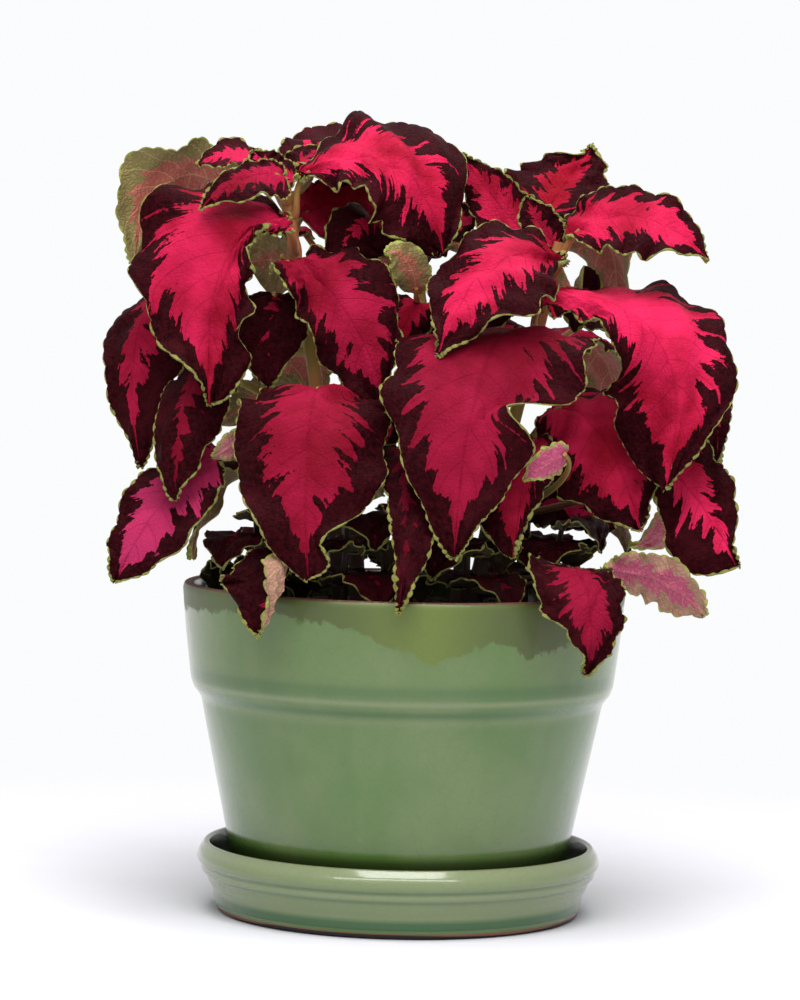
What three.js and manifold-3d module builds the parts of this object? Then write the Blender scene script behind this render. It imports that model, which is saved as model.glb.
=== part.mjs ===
// A coleus in a glazed pot that stands in its saucer.
//
// Lengths are millimetres and angles degrees. +Z is up, and the origin is the centre of the
// saucer's underside, on the pot's axis, so the floor is the plane z = 0. The plant's best side
// looks along -Y. Every leaf blade is a curved sheet round its midrib; the midrib is a Bezier
// curve, and the sheet's half widths, fold and curl are given for each side of it.

import * as THREE from "three";
import { mergeVertices } from "three/addons/utils/BufferGeometryUtils.js";
import Module from "manifold-3d";

const wasm = await Module();
wasm.setup();

const DEG = Math.PI / 180;
const GAP = 0.3; // clearance between pieces that touch

// ---------------------------------------------------------------- driving dimensions

const ROUND_STEPS = 32; // facets round the pot, the saucer and the soil

const pot = {
  foot: 6.3, // height of the foot, on the saucer's floor
  footRadius: 65.4,
  footRing: 8, // width of the ring it stands on
  footRecess: 2, // hollow under the floor, inside that ring
  footEdge: 1, // bevel on the ring's two edges
  floor: 9, // thickness of the floor, from the foot
  shoulder: 88, // height where the wall meets the band
  shoulderRadius: 82,
  bandBottom: 95,
  bandRadius: 86.2,
  rim: 133.6,
  rimRadius: 90,
  wall: 6.5,
  bandWall: 8.5,
  rimWall: 5,
  rimEdge: 1.5, // rounding of the rim's outer edge
  lipEdge: 1, // and of its inner edge
  lipDepth: 3, // depth at which the inner edge has met the wall
  drainRadius: 8,
};

const saucer = {
  baseRadius: 73.6,
  floor: 6,
  floorRadius: 72,
  neck: 14,
  neckRadius: 79,
  rimHeight: 20,
  rimRadius: 82,
  rimRound: 3.3, // half the height of the rim's roll
  rimEdge: 1,
  lip: 28.4,
  lipRadius: 79,
  lipWidth: 2,
  wall: 4,
  strip: 3, // height of the bare strip at the base
  cove: 2, // rounding where the wall meets the floor
};

const soil = {
  top: 122, // where it meets the wall
  crown: 3, // how much higher the middle lies
  radius: 81.6, // of its upper edge
  clearance: 0.5,
};

const stemSize = { root: 3.4, tip: 2.1, chamfer: 0.3, steps: 6 };
const petiole = {
  root: 1.7,
  tip: 1.25,
  neck: 0.75, // share of its length where it is down to that
  end: 0.5,
  sides: 4,
  steps: 3,
  sink: 5, // how far it runs on into the blade
  outward: 0.3, // length of its Bezier arms, as shares of the span
  inward: 0.35,
};
// A blade is `round` at its base over that share of its length, and narrows to the tip from `point`
// on, as a mix of an ellipse and a straight line. Its margin lies back toward the base by up to
// `shift` of the length, most of it before `shiftEnd`; the right margin's waves lag behind.
const blade = {
  thickness: 0.8,
  tooth: 1.3,
  round: 0.2,
  point: 0.72,
  ellipse: 0.6,
  least: 0.3,
  shift: 0.13,
  shiftEnd: 0.85,
  shiftPower: 0.7,
  lag: 1.3,
  noTuck: [0, 0, 1],
};
// A shoot's stem, and its leaves as shares of the leaf length given for each shoot.
const shoot = {
  root: 1.9,
  tip: 1.1,
  sides: 4,
  steps: 3,
  sunk: 8,
  leaves: 5,
  lowest: 0.45,
  shorter: 0.12,
  reach: 0.75,
  rise: 0.3,
  half: 0.5,
  drop: 0.3,
};

// The five main stems, each a Bezier curve from its foot in the soil to its growing tip.
const stems = [
  { name: "left", size: 1, path: [[-24, -8, 92], [-26, -8, 170], [-42, -12, 235], [-52, -11, 296]] },
  { name: "right", size: 1, path: [[26, -8, 92], [28, -6, 160], [48, -12, 215], [59, -16, 274]] },
  { name: "centre", size: 0.9, path: [[2, -14, 92], [2, -8, 150], [10, -6, 210], [2, -4, 268]] },
  { name: "back_left", size: 1, path: [[-18, 24, 92], [-20, 28, 170], [-28, 36, 230], [-32, 38, 290]] },
  { name: "back_right", size: 1, path: [[20, 24, 92], [24, 28, 160], [32, 38, 225], [34, 42, 284]] },
];

// The leaves that show from the front. For each one: the stem and the height on it where the
// petiole leaves; the midrib from base to tip; the direction of the right-hand half at the base
// and at the tip, as azimuth and lift; the half widths at 20, 50 and 80 % of the length; the
// fold and the curl of the left and the right half; the height, number and phase of the
// margin's waves; and a tuck in the left or the right half, where it has one.
const frontLeaves = [
  {
    name: "leaf_left_big", stem: "left", node: 268,
    rib: [[-50, -26, 279], [-66, -38, 286], [-84, -50, 262], [-78, -54, 207]],
    across: [-40, -32, -12, 0], left: [17, 42, 28], right: [5, 6, 18],
    bend: [5, -15, -15, -30], wave: [2.4, 2.5, 0],
  },
  {
    name: "leaf_left_small", stem: "left", node: 288,
    rib: [[-52, -20, 298], [-61, -30, 300], [-73, -35, 296], [-84, -37, 283]],
    across: [-90, -50, -60, -40], left: [6, 7, 6], right: [11, 12, 8],
    bend: [0, 0, 0, 0], wave: [0.6, 2, 0],
  },
  {
    name: "leaf_left_outer", stem: "left", node: 278,
    rib: [[-66, 26, 290], [-86, 36, 305], [-115, 38, 306], [-115, 36, 260]],
    across: [-90, 50, -180, 10], left: [14, 21, 14], right: [13, 19, 14],
    bend: [0, 0, 0, 0], wave: [2.0, 3, 0],
  },
  {
    name: "leaf_left_behind", stem: "left", node: 228,
    rib: [[-68, 0, 240], [-96, -5, 264], [-122, -12, 250], [-107, -22, 180]],
    across: [-80, -30, -10, 0], left: [18, 24, 16], right: [18, 22, 20],
    bend: [-10, -20, -10, -20], wave: [2.2, 3, 0], tuckLeft: [0.6, 0.3, 0.08],
  },
  {
    name: "leaf_left_dark", stem: "left", node: 205,
    rib: [[-76, -24, 222], [-84, -36, 228], [-92, -50, 205], [-91, -53, 169]],
    across: [-60, -20, 0, 0], left: [10, 13, 12], right: [12, 17, 13],
    bend: [-10, -20, -10, -20], wave: [1, 2, 0],
  },
  {
    name: "leaf_left_lilac", stem: "left", node: 165,
    rib: [[-74, -28, 186], [-88, -36, 180], [-103, -46, 162], [-114, -52, 136]],
    across: [-30, -30, -25, -25], left: [11, 15, 13], right: [7, 21, 20],
    bend: [0, -10, 0, 35], wave: [1.4, 2, 0],
  },
  {
    name: "leaf_left_mauve", stem: "left", node: 184,
    rib: [[-50, -36, 188], [-58, -44, 192], [-66, -46, 194], [-77, -46, 186]],
    across: [-90, 70, -90, 70], left: [7, 7, 6], right: [6, 8, 6],
    bend: [0, 0, 0, 0], wave: [1, 2, 0],
  },
  {
    name: "leaf_left_mid", stem: "left", node: 250,
    rib: [[-52, -24, 264], [-42, -40, 266], [-19, -45, 244], [-9, -40, 209]],
    across: [0, 6, 0, 12], left: [8, 13, 20], right: [8, 23, 17],
    bend: [-5, -20, -5, -20], wave: [2.2, 3, 0.3], tuckRight: [0.3, 0.3, 0.08],
  },
  {
    name: "leaf_left_low", stem: "left", node: 190,
    rib: [[-36, -44, 213], [-35, -68, 222], [-42, -88, 190], [-37, -91, 142]],
    across: [0, 0, 0, 0], left: [26, 30, 26], right: [27, 30, 30],
    bend: [-5, -20, -5, -20], wave: [2.8, 2.5, 0], tuckRight: [0.9, 0.62, 0.07],
  },
  {
    name: "leaf_low_red", stem: "centre", node: 170,
    rib: [[-4, -50, 192], [-1, -72, 192], [2, -94, 165], [-2, -99, 130]],
    across: [0, 0, 0, 0], left: [14, 8, 4], right: [14, 14, 9],
    bend: [-10, -20, -10, -20], wave: [1, 2, 0],
  },
  {
    name: "leaf_top_big", stem: "left", node: 282,
    rib: [[-46, -16, 298], [-20, -24, 314], [6, -24, 306], [12, -18, 269]],
    across: [90, 45, 30, 25], left: [8, 18, 26], right: [16, 40, 32],
    bend: [-5, -15, -5, -20], wave: [2.2, 2.5, 0],
  },
  {
    name: "leaf_top_pink", stem: "left", node: 286,
    rib: [[-60, 6, 300], [-68, 9, 308], [-78, 10, 309], [-88, 9, 302]],
    across: [-90, -30, -60, -30], left: [8, 11, 9], right: [8, 10, 8],
    bend: [0, 0, 0, 0], wave: [1, 2, 0],
  },
  {
    name: "leaf_top_dark", stem: "left", node: 290,
    rib: [[-41, 8, 301], [-40, 22, 312], [-26, 38, 316], [0, 54, 306]],
    across: [120, 25, 90, 25], left: [18, 20, 16], right: [12, 20, 18],
    bend: [0, -10, 0, -10], wave: [1.5, 3, 0],
  },
  {
    name: "leaf_inner_red", stem: "left", node: 270,
    rib: [[-46, 4, 282], [-34, 12, 291], [-18, 18, 291], [-2, 20, 278]],
    across: [90, 50, 90, 40], left: [18, 14, 10], right: [10, 12, 10],
    bend: [0, 0, 0, 0], wave: [1, 2, 0],
  },
  {
    name: "leaf_inner_dark", stem: "centre", node: 255,
    rib: [[-10, -4, 278], [-18, -10, 286], [-28, -16, 276], [-32, -18, 258]],
    across: [0, -30, 0, 0], left: [10, 12, 8], right: [14, 16, 12],
    bend: [0, -20, 0, -20], wave: [1, 3, 0],
  },
  {
    name: "leaf_inner_mauve", stem: "left", node: 242,
    rib: [[-54, -18, 250], [-55, -24, 252], [-57, -27, 238], [-56, -26, 213]],
    across: [-20, 0, 0, 0], left: [12, 14, 12], right: [12, 16, 12],
    bend: [0, -20, 0, -20], wave: [1, 2, 0],
  },
  {
    name: "leaf_olive", stem: "centre", node: 248,
    rib: [[2, -24, 252], [2, -35, 260], [-3, -42, 271], [-11, -43, 268]],
    across: [0, 0, 0, 80], left: [5, 7, 5], right: [5, 7, 5],
    bend: [0, 0, 0, 0], wave: [0.5, 2, 0],
  },
  {
    name: "leaf_centre_big", stem: "centre", node: 220,
    rib: [[44, -28, 236], [36, -62, 252], [20, -92, 214], [19, -92, 151]],
    across: [0, 3, 0, 0], left: [41, 40, 28], right: [31, 36, 25],
    bend: [-5, -15, -5, -15], wave: [2.8, 3, 0], tuckRight: [0.68, 0.52, 0.055],
  },
  {
    name: "leaf_centre_back", stem: "centre", node: 226,
    rib: [[12, -10, 239], [8, -19, 254], [-1, -24, 253], [-6, -23, 224]],
    across: [0, 0, 0, 0], left: [10, 12, 9], right: [12, 12, 9],
    bend: [-5, -15, -5, -15], wave: [1, 3, 0],
  },
  {
    name: "leaf_right_front", stem: "right", node: 262,
    rib: [[60, -26, 266], [42, -46, 277], [20, -60, 262], [11, -66, 228]],
    across: [-90, -45, -20, -5], left: [12, 27, 17], right: [9, 26, 22],
    bend: [-5, -15, -5, -15], wave: [1.8, 2.5, 0],
  },
  {
    name: "leaf_right_young", stem: "right", node: 268,
    rib: [[53, -10, 271], [44, 0, 277], [30, 8, 294], [19, 10, 309]],
    across: [180, -45, 180, -45], left: [9, 11, 8], right: [9, 12, 8],
    bend: [0, 0, 0, 0], wave: [0.8, 2, 0],
  },
  {
    name: "leaf_right_back", stem: "right", node: 260,
    rib: [[54, 4, 286], [60, 12, 296], [67, 22, 305], [73, 30, 314]],
    across: [180, 0, 170, 10], left: [11, 15, 12], right: [17, 23, 7],
    bend: [0, -10, 0, -10], wave: [1.2, 2, 0.4],
  },
  {
    name: "leaf_right_top", stem: "right", node: 268,
    rib: [[63, -22, 276], [75, -28, 289], [100, -32, 289], [117, -34, 268]],
    across: [90, 45, 80, 50], left: [8, 18, 15], right: [15, 17, 13],
    bend: [0, -10, 0, -10], wave: [1.6, 2.5, 0],
  },
  {
    name: "leaf_right_big", stem: "right", node: 234,
    rib: [[54, -28, 254], [84, -44, 255], [116, -58, 241], [102, -53, 178]],
    across: [40, 12, 5, 0], left: [9, 13, 33], right: [15, 34, 26],
    bend: [-45, 0, -5, -15], wave: [2.4, 2.5, 0],
  },
  {
    name: "leaf_right_edge", stem: "right", node: 232,
    rib: [[70, 8, 242], [97, 8, 260], [129, 0, 249], [124, -16, 186]],
    across: [90, 30, 20, 0], left: [14, 20, 16], right: [12, 18, 14],
    bend: [-5, -20, -5, -20], wave: [1.5, 3, 0],
  },
  {
    name: "leaf_right_outer", stem: "right", node: 175,
    rib: [[98, -20, 190], [107, -30, 184], [119, -38, 171], [132, -42, 147]],
    across: [15, 30, 15, 25], left: [8, 12, 24], right: [14, 18, 10],
    bend: [0, -10, 0, -10], wave: [1.8, 3, 0],
  },
  {
    name: "leaf_right_mid", stem: "right", node: 190,
    rib: [[58, -12, 207], [70, -28, 212], [86, -36, 190], [93, -38, 160]],
    across: [20, 35, 5, 5], left: [17, 26, 24], right: [20, 24, 16],
    bend: [-5, -20, -5, -20], wave: [2.2, 2.5, 0],
  },
  {
    name: "leaf_right_low", stem: "centre", node: 172,
    rib: [[50, -44, 196], [48, -58, 196], [44, -71, 176], [42, -75, 151]],
    across: [0, 0, 0, 0], left: [14, 19, 18], right: [9, 10, 5],
    bend: [-5, -20, -5, -20], wave: [1, 2, 0],
  },
  {
    name: "leaf_right_magenta", stem: "right", node: 166,
    rib: [[62, -72, 190], [60, -77, 192], [52, -79, 187], [45, -75, 181]],
    across: [-90, 80, -90, 80], left: [4, 6, 4], right: [4, 6, 4],
    bend: [0, 0, 0, 0], wave: [0.5, 2, 0],
  },
  {
    name: "leaf_right_pale", stem: "right", node: 165,
    rib: [[113, -8, 171], [114, -14, 165], [106, -20, 156], [90, -24, 153]],
    across: [-90, 70, -90, 70], left: [8, 8, 5], right: [9, 12, 7],
    bend: [0, 0, 0, 0], wave: [0.5, 2, 0],
  },
  {
    name: "leaf_rim_left", stem: "left", node: 140,
    rib: [[-46, -62, 150], [-44, -84, 150], [-46, -96, 138], [-56, -90, 119]],
    across: [-30, 0, -25, 0], left: [14, 24, 25], right: [12, 12, 7],
    bend: [0, 0, 60, 100], wave: [0.6, 2, 0],
  },
  {
    name: "leaf_rim_right", stem: "right", node: 132,
    rib: [[66, -58, 146], [68, -78, 147], [76, -90, 134], [71, -78, 106]],
    across: [-15, 0, 10, 0], left: [16, 22, 11], right: [12, 14, 12],
    bend: [0, 40, -5, -10], wave: [0.8, 2, 0],
  },
  {
    name: "leaf_rim_outer", stem: "right", node: 139,
    rib: [[78, -50, 145], [90, -58, 147], [106, -62, 143], [118, -62, 129]],
    across: [90, -70, 90, -60], left: [3, 9, 10], right: [6, 10, 12],
    bend: [0, 0, 0, 0], wave: [0.6, 2, 0],
  },
];

// The youngest leaves, which are one piece with the growing tip of their stem. Some are given like
// the leaves above, and the others like the arched leaves below.
const tipLeaves = [
  {
    stem: "left",
    rib: [[-48, -8, 297], [-57, -9, 300], [-63, -8, 304], [-65, -7, 308]],
    across: [-90, -50, -110, -60], left: [7, 8, 6], right: [7, 8, 6],
    bend: [0, 0, 0, 0], wave: [0.6, 2, 0],
  },
  {
    stem: "left",
    rib: [[-48, -6, 299], [-47, -2, 304], [-42, 2, 308], [-34, 4, 310]],
    across: [90, 40, 90, 40], left: [7, 8, 6], right: [7, 8, 6],
    bend: [0, 0, 0, 0], wave: [0.6, 2, 0],
  },
  {
    stem: "right",
    rib: [[58, -15, 272], [53, -14, 277], [49, -12, 284], [45, -10, 292]],
    across: [180, -40, 180, -40], left: [6, 8, 6], right: [6, 8, 6],
    bend: [10, 0, 10, 0], wave: [0.4, 2, 0],
  },
  {
    stem: "centre",
    base: [2, -4, 267], azimuth: 40, reach: 26, rise: 9, drop: 2, half: 9,
    bend: [5, -20, 5, -20], wave: [0.4, 2, 0],
  },
  {
    stem: "centre",
    base: [2, -4, 267], azimuth: 95, reach: 22, rise: 9, drop: 2, half: 8,
    bend: [5, -20, 5, -20], wave: [0.4, 2, 0],
  },
  {
    stem: "back_left",
    base: [-32, 38, 289], azimuth: 10, reach: 26, rise: 10, drop: 2, half: 9,
    bend: [5, -20, 5, -20], wave: [0.4, 2, 0],
  },
  {
    stem: "back_left",
    base: [-32, 38, 289], azimuth: 120, reach: 22, rise: 10, drop: 2, half: 8,
    bend: [5, -20, 5, -20], wave: [0.4, 2, 0],
  },
  {
    stem: "back_right",
    base: [34, 42, 283], azimuth: 150, reach: 26, rise: 10, drop: 2, half: 9,
    bend: [5, -20, 5, -20], wave: [0.4, 2, 0],
  },
  {
    stem: "back_right",
    base: [34, 42, 283], azimuth: 330, reach: 24, rise: 10, drop: 2, half: 9,
    bend: [5, -20, 5, -20], wave: [0.4, 2, 0],
  },
  {
    stem: "left",
    rib: [[-46, -11, 260], [-52, -2, 265], [-58, 4, 266], [-68, 8, 262]],
    across: [-90, 70, -90, 70], left: [5, 15, 15], right: [5, 11, 9],
    bend: [0, -10, 0, -10], wave: [0.8, 2, 0],
  },
  {
    stem: "left",
    rib: [[-35, -10, 200], [-48, 2, 211], [-64, 4, 215], [-81, 0, 192]],
    across: [-90, 65, -60, 35], left: [5, 13, 12], right: [5, 12, 12],
    bend: [0, -10, 0, -10], wave: [1, 2, 0.2],
  },
  {
    stem: "centre",
    rib: [[2, -4, 266], [8, 4, 276], [17, 14, 283], [29, 20, 284]],
    across: [-60, 60, -60, 60], left: [9, 14, 10], right: [6, 12, 9],
    bend: [0, -10, 0, -10], wave: [0.6, 2, 0],
  },
  {
    stem: "centre",
    rib: [[5, -5, 231], [16, 1, 240], [29, 5, 247], [44, 6, 247]],
    across: [-90, 60, -90, 60], left: [4, 9, 9], right: [4, 9, 8],
    bend: [0, -10, 0, -10], wave: [0.8, 2, 0.3],
  },
  {
    stem: "centre",
    rib: [[6, -7, 209], [-2, 0, 217], [-8, 2, 210], [-9, 0, 186]],
    across: [0, 20, 0, 0], left: [5, 9, 8], right: [5, 10, 9],
    bend: [0, -10, 0, -10], wave: [0.8, 2, 0.1],
  },
  {
    stem: "right",
    rib: [[55, -14, 248], [65, -11, 260], [70, -9, 260], [66, -10, 238]],
    across: [20, 0, 0, 0], left: [4, 9, 9], right: [5, 10, 9],
    bend: [0, -10, 0, -10], wave: [0.8, 2, 0.4],
  },
  {
    stem: "right",
    rib: [[33, -8, 160], [44, 6, 169], [62, 13, 172], [86, 11, 158]],
    across: [-90, 60, -90, 60], left: [2, 8, 12], right: [2, 6, 9],
    bend: [0, -10, 0, -10], wave: [1, 2, 0.2],
  },
];

// The leaves on the far side. Azimuth 90 looks straight back.
const backLeaves = [
  {
    name: "leaf_back_top_1", stem: "back_left", node: 262,
    base: [-44, 44, 276], azimuth: 158, reach: 52, rise: 16, drop: 60, half: 23,
    bend: [-8, -25, -8, -25], wave: [1.6, 2.5, 0],
  },
  {
    name: "leaf_back_top_2", stem: "back_left", node: 282,
    base: [-24, 52, 292], azimuth: 82, reach: 54, rise: 14, drop: 64, half: 26,
    bend: [-8, -25, -8, -25], wave: [1.6, 2.5, 0.3],
  },
  {
    name: "leaf_back_top_3", stem: "back_right", node: 276,
    base: [46, 48, 284], azimuth: 35, reach: 56, rise: 14, drop: 62, half: 25,
    bend: [-8, -25, -8, -25], wave: [1.6, 2.5, 0.6],
  },
  {
    name: "leaf_back_mid_1", stem: "back_left", node: 228,
    base: [-48, 36, 240], azimuth: 178, reach: 52, rise: 10, drop: 58, half: 24,
    bend: [-8, -25, -8, -25], wave: [1.5, 2.5, 0.2],
  },
  {
    name: "leaf_back_mid_2", stem: "back_left", node: 222,
    base: [-36, 54, 234], azimuth: 112, reach: 50, rise: 10, drop: 56, half: 25,
    bend: [-8, -25, -8, -25], wave: [1.5, 2.5, 0.7],
  },
  {
    name: "leaf_back_mid_3", stem: "back_right", node: 228,
    base: [24, 56, 240], azimuth: 88, reach: 50, rise: 12, drop: 60, half: 25,
    bend: [-8, -25, -8, -25], wave: [1.5, 2.5, 0.5],
  },
  {
    name: "leaf_back_mid_4", stem: "back_right", node: 220,
    base: [52, 46, 234], azimuth: 38, reach: 50, rise: 10, drop: 56, half: 24,
    bend: [-8, -25, -8, -25], wave: [1.5, 2.5, 0.1],
  },
  {
    name: "leaf_back_low_1", stem: "back_left", node: 172,
    base: [-44, 38, 184], azimuth: 160, reach: 48, rise: 8, drop: 46, half: 21,
    bend: [-8, -25, -8, -25], wave: [1.3, 2.5, 0.4],
  },
  {
    name: "leaf_back_low_2", stem: "back_left", node: 166,
    base: [-20, 54, 178], azimuth: 105, reach: 46, rise: 8, drop: 44, half: 22,
    bend: [-8, -25, -8, -25], wave: [1.3, 2.5, 0.9],
  },
  {
    name: "leaf_back_low_3", stem: "back_right", node: 172,
    base: [30, 54, 184], azimuth: 70, reach: 48, rise: 8, drop: 46, half: 22,
    bend: [-8, -25, -8, -25], wave: [1.3, 2.5, 0.2],
  },
  {
    name: "leaf_back_low_4", stem: "back_right", node: 166,
    base: [50, 32, 178], azimuth: 15, reach: 46, rise: 8, drop: 42, half: 20,
    bend: [-8, -25, -8, -25], wave: [1.3, 2.5, 0.6],
  },
];

// Low leafy shoots that fill the pot's mouth.
const shoots = [
  { name: "shoot_left", foot: [-58, -18], top: [-60, -26, 160], length: 28, turn: 140 },
  { name: "shoot_front_left", foot: [-24, -46], top: [-23, -50, 160], length: 28, turn: 130 },
  { name: "shoot_front_right", foot: [24, -46], top: [25, -52, 160], length: 28, turn: 140 },
  { name: "shoot_right", foot: [58, -6], top: [63, -12, 158], length: 27, turn: 156 },
  { name: "shoot_back_right", foot: [50, 38], top: [51, 38, 158], length: 25, turn: 40 },
  { name: "shoot_back", foot: [2, 56], top: [2, 56, 158], length: 26, turn: 100 },
  { name: "shoot_back_left", foot: [-50, 38], top: [-51, 38, 158], length: 25, turn: 140 },
];

// ---------------------------------------------------------------- finishes

const glaze = new THREE.MeshStandardMaterial({ color: 0x738c5f, roughness: 0.18, metalness: 0 });
const earth = new THREE.MeshStandardMaterial({ color: 0x2a1d16, roughness: 0.95, metalness: 0 });
const bark = new THREE.MeshStandardMaterial({ color: 0x9a8a4a, roughness: 0.6, metalness: 0 });
const foliage = new THREE.MeshStandardMaterial({ color: 0xb01c46, roughness: 0.55, metalness: 0 });
const shade = new THREE.MeshStandardMaterial({ color: 0x4a1220, roughness: 0.6, metalness: 0 });

// ---------------------------------------------------------------- solids and booleans

// A closed mesh as a solid. Its corners are merged first, and it is turned right side out.
function solidOf(geometry) {
  const bare = new THREE.BufferGeometry();
  bare.setAttribute("position", geometry.getAttribute("position"));
  if (geometry.index) bare.setIndex(geometry.index);
  const merged = mergeVertices(bare, 1e-4);
  const numbers = Array.from(merged.index.array);
  const faces = [];
  for (let i = 0; i < numbers.length; i += 3) {
    const [a, b, c] = numbers.slice(i, i + 3);
    if (a !== b && b !== c && c !== a) faces.push(a, b, c);
  }
  const vertProperties = Float32Array.from(merged.getAttribute("position").array);
  const build = (list) =>
    new wasm.Manifold(new wasm.Mesh({ numProp: 3, vertProperties, triVerts: Uint32Array.from(list) }));
  const solid = build(faces);
  if (solid.volume() > 0) return solid;
  for (let i = 0; i < faces.length; i += 3) {
    [faces[i], faces[i + 1]] = [faces[i + 1], faces[i]];
  }
  return build(faces);
}

function geometryOf(solid) {
  const mesh = solid.getMesh();
  const geometry = new THREE.BufferGeometry();
  geometry.setAttribute("position", new THREE.BufferAttribute(Float32Array.from(mesh.vertProperties), 3));
  geometry.setIndex(Array.from(mesh.triVerts));
  return geometry;
}

function union(solids) {
  return solids.reduce((whole, next) => whole.add(next));
}

const plant = new THREE.Group();

function place(name, solid, material) {
  const mesh = new THREE.Mesh(geometryOf(solid), material);
  mesh.name = name;
  plant.add(mesh);
}

// ---------------------------------------------------------------- turned pieces

// A solid turned round the Z axis from a closed outline of [radius, height] pairs.
function turned(outline) {
  const points = outline.map(([radius, height]) => new THREE.Vector2(radius, height));
  if (outline[0][0] > 0) points.push(points[0].clone());
  return solidOf(new THREE.LatheGeometry(points, ROUND_STEPS).rotateX(Math.PI / 2));
}

// Radius of the pot's inner wall at a height.
function potInside(height) {
  const outer =
    height < pot.shoulder
      ? THREE.MathUtils.mapLinear(height, pot.foot, pot.shoulder, pot.footRadius, pot.shoulderRadius)
      : THREE.MathUtils.mapLinear(height, pot.bandBottom, pot.rim, pot.bandRadius, pot.rimRadius);
  return outer - (height < pot.shoulder ? pot.wall : pot.bandWall);
}

function potSolid() {
  const floorTop = pot.foot + pot.floor;
  const ringInside = pot.footRadius - pot.footRing;
  return turned([
    [pot.drainRadius, pot.foot + pot.footRecess],
    [ringInside, pot.foot + pot.footRecess],
    [ringInside + pot.footEdge, pot.foot],
    [pot.footRadius - pot.footEdge, pot.foot],
    [pot.footRadius, pot.foot + 2 * pot.footEdge],
    [pot.shoulderRadius, pot.shoulder],
    [pot.bandRadius - pot.footEdge, pot.bandBottom - 2 * pot.footEdge],
    [pot.bandRadius, pot.bandBottom],
    [pot.rimRadius, pot.rim - pot.rimEdge],
    [pot.rimRadius - pot.rimEdge, pot.rim],
    [pot.rimRadius - pot.rimWall + pot.lipEdge, pot.rim],
    [pot.rimRadius - pot.rimWall - pot.lipEdge, pot.rim - pot.lipDepth],
    [potInside(pot.bandBottom), pot.bandBottom],
    [potInside(floorTop), floorTop],
    [pot.drainRadius, floorTop],
  ]);
}

function saucerSolid() {
  return turned([
    [0, 0],
    [saucer.baseRadius, 0],
    [saucer.baseRadius + saucer.rimEdge, saucer.strip],
    [saucer.baseRadius + saucer.strip, saucer.floor + saucer.wall],
    [saucer.neckRadius, saucer.neck],
    [saucer.rimRadius - saucer.rimEdge, saucer.rimHeight - saucer.rimRound],
    [saucer.rimRadius, saucer.rimHeight],
    [saucer.rimRadius - saucer.rimEdge, saucer.rimHeight + saucer.rimRound],
    [saucer.lipRadius, saucer.lip],
    [saucer.lipRadius - saucer.lipWidth, saucer.lip - saucer.rimEdge],
    [saucer.rimRadius - saucer.wall - saucer.lipWidth, saucer.rimHeight],
    [saucer.floorRadius + saucer.cove / 2, saucer.floor + saucer.cove],
    [saucer.floorRadius, saucer.floor],
    [0, saucer.floor],
  ]);
}

function soilSolid() {
  const bottom = pot.foot + pot.floor + GAP;
  return turned([
    [0, bottom],
    [potInside(bottom) - soil.clearance, bottom],
    [potInside(pot.bandBottom) - soil.clearance, pot.bandBottom],
    [soil.radius, soil.top],
    [soil.radius / 2, soil.top + soil.crown],
    [0, soil.top + soil.crown],
  ]);
}

// ---------------------------------------------------------------- stems and petioles

const EAST = new THREE.Vector3(1, 0, 0);
const vec = (p) => new THREE.Vector3(...p);

function bezier(points) {
  return new THREE.CubicBezierCurve3(...points.map(vec));
}

// A tapering limb along a curve: a ring of corners at each step, and a cap at either end.
// `section` lists the corners of one ring as [angle in turns, share of the radius].
function limb(curve, radiusAt, section, steps, side) {
  const corners = [];
  const count = section.length;
  for (let i = 0; i <= steps; i += 1) {
    const t = i / steps;
    const centre = curve.getPoint(t);
    const along = curve.getTangent(t);
    const x = side.clone().addScaledVector(along, -side.dot(along)).normalize();
    const y = along.clone().cross(x);
    for (const [turn, share] of section) {
      const angle = 2 * Math.PI * turn;
      const reach = radiusAt(t) * share;
      const corner = centre.clone();
      corner.addScaledVector(x, reach * Math.cos(angle));
      corner.addScaledVector(y, reach * Math.sin(angle));
      corners.push(...corner.toArray());
    }
  }
  const faces = [];
  for (let i = 0; i < steps; i += 1) {
    for (let j = 0; j < count; j += 1) {
      const a = i * count + j;
      const b = i * count + ((j + 1) % count);
      faces.push(a, b, b + count, a, b + count, a + count);
    }
  }
  const last = steps * count;
  for (let j = 1; j < count - 1; j += 1) {
    faces.push(0, j + 1, j);
    faces.push(last, last + j, last + j + 1);
  }
  const geometry = new THREE.BufferGeometry();
  geometry.setAttribute("position", new THREE.Float32BufferAttribute(corners, 3));
  geometry.setIndex(faces);
  return solidOf(geometry);
}

// A square stem's ring: eight corners, two close to each edge of the square.
function squareSection(chamfer) {
  const section = [];
  for (let quarter = 0; quarter < 4; quarter += 1) {
    for (const offset of [-1, 1]) {
      section.push([(quarter + 0.5 + offset * chamfer * 0.5) / 4, Math.SQRT2 * (1 - chamfer * 0.4)]);
    }
  }
  return section;
}

function roundSection(sides) {
  return Array.from({ length: sides }, (_, i) => [i / sides, 1]);
}

const square = squareSection(stemSize.chamfer);
const stemCurves = Object.fromEntries(stems.map((row) => [row.name, bezier(row.path)]));

const taper = (from, to) => (t) => THREE.MathUtils.lerp(from, to, t);

function stemSolid(row) {
  const radius = taper(stemSize.root * row.size, stemSize.tip * row.size);
  return limb(stemCurves[row.name], radius, square, stemSize.steps, EAST);
}

// The hole that a stem stands in: the stem itself, a little wider.
function stemHole(row) {
  const [x, y, z] = row.path[0];
  const line = bezier([[x, y, z - GAP], ...row.path.slice(1)]);
  const radius = stemSize.root * row.size + GAP;
  return limb(line, () => radius, square, stemSize.steps, EAST);
}

// Where along a stem it passes a height.
function stemAt(curve, height) {
  let low = 0;
  let high = 1;
  for (let i = 0; i < 20; i += 1) {
    const middle = (low + high) / 2;
    if (curve.getPoint(middle).z < height) low = middle;
    else high = middle;
  }
  return low;
}

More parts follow.
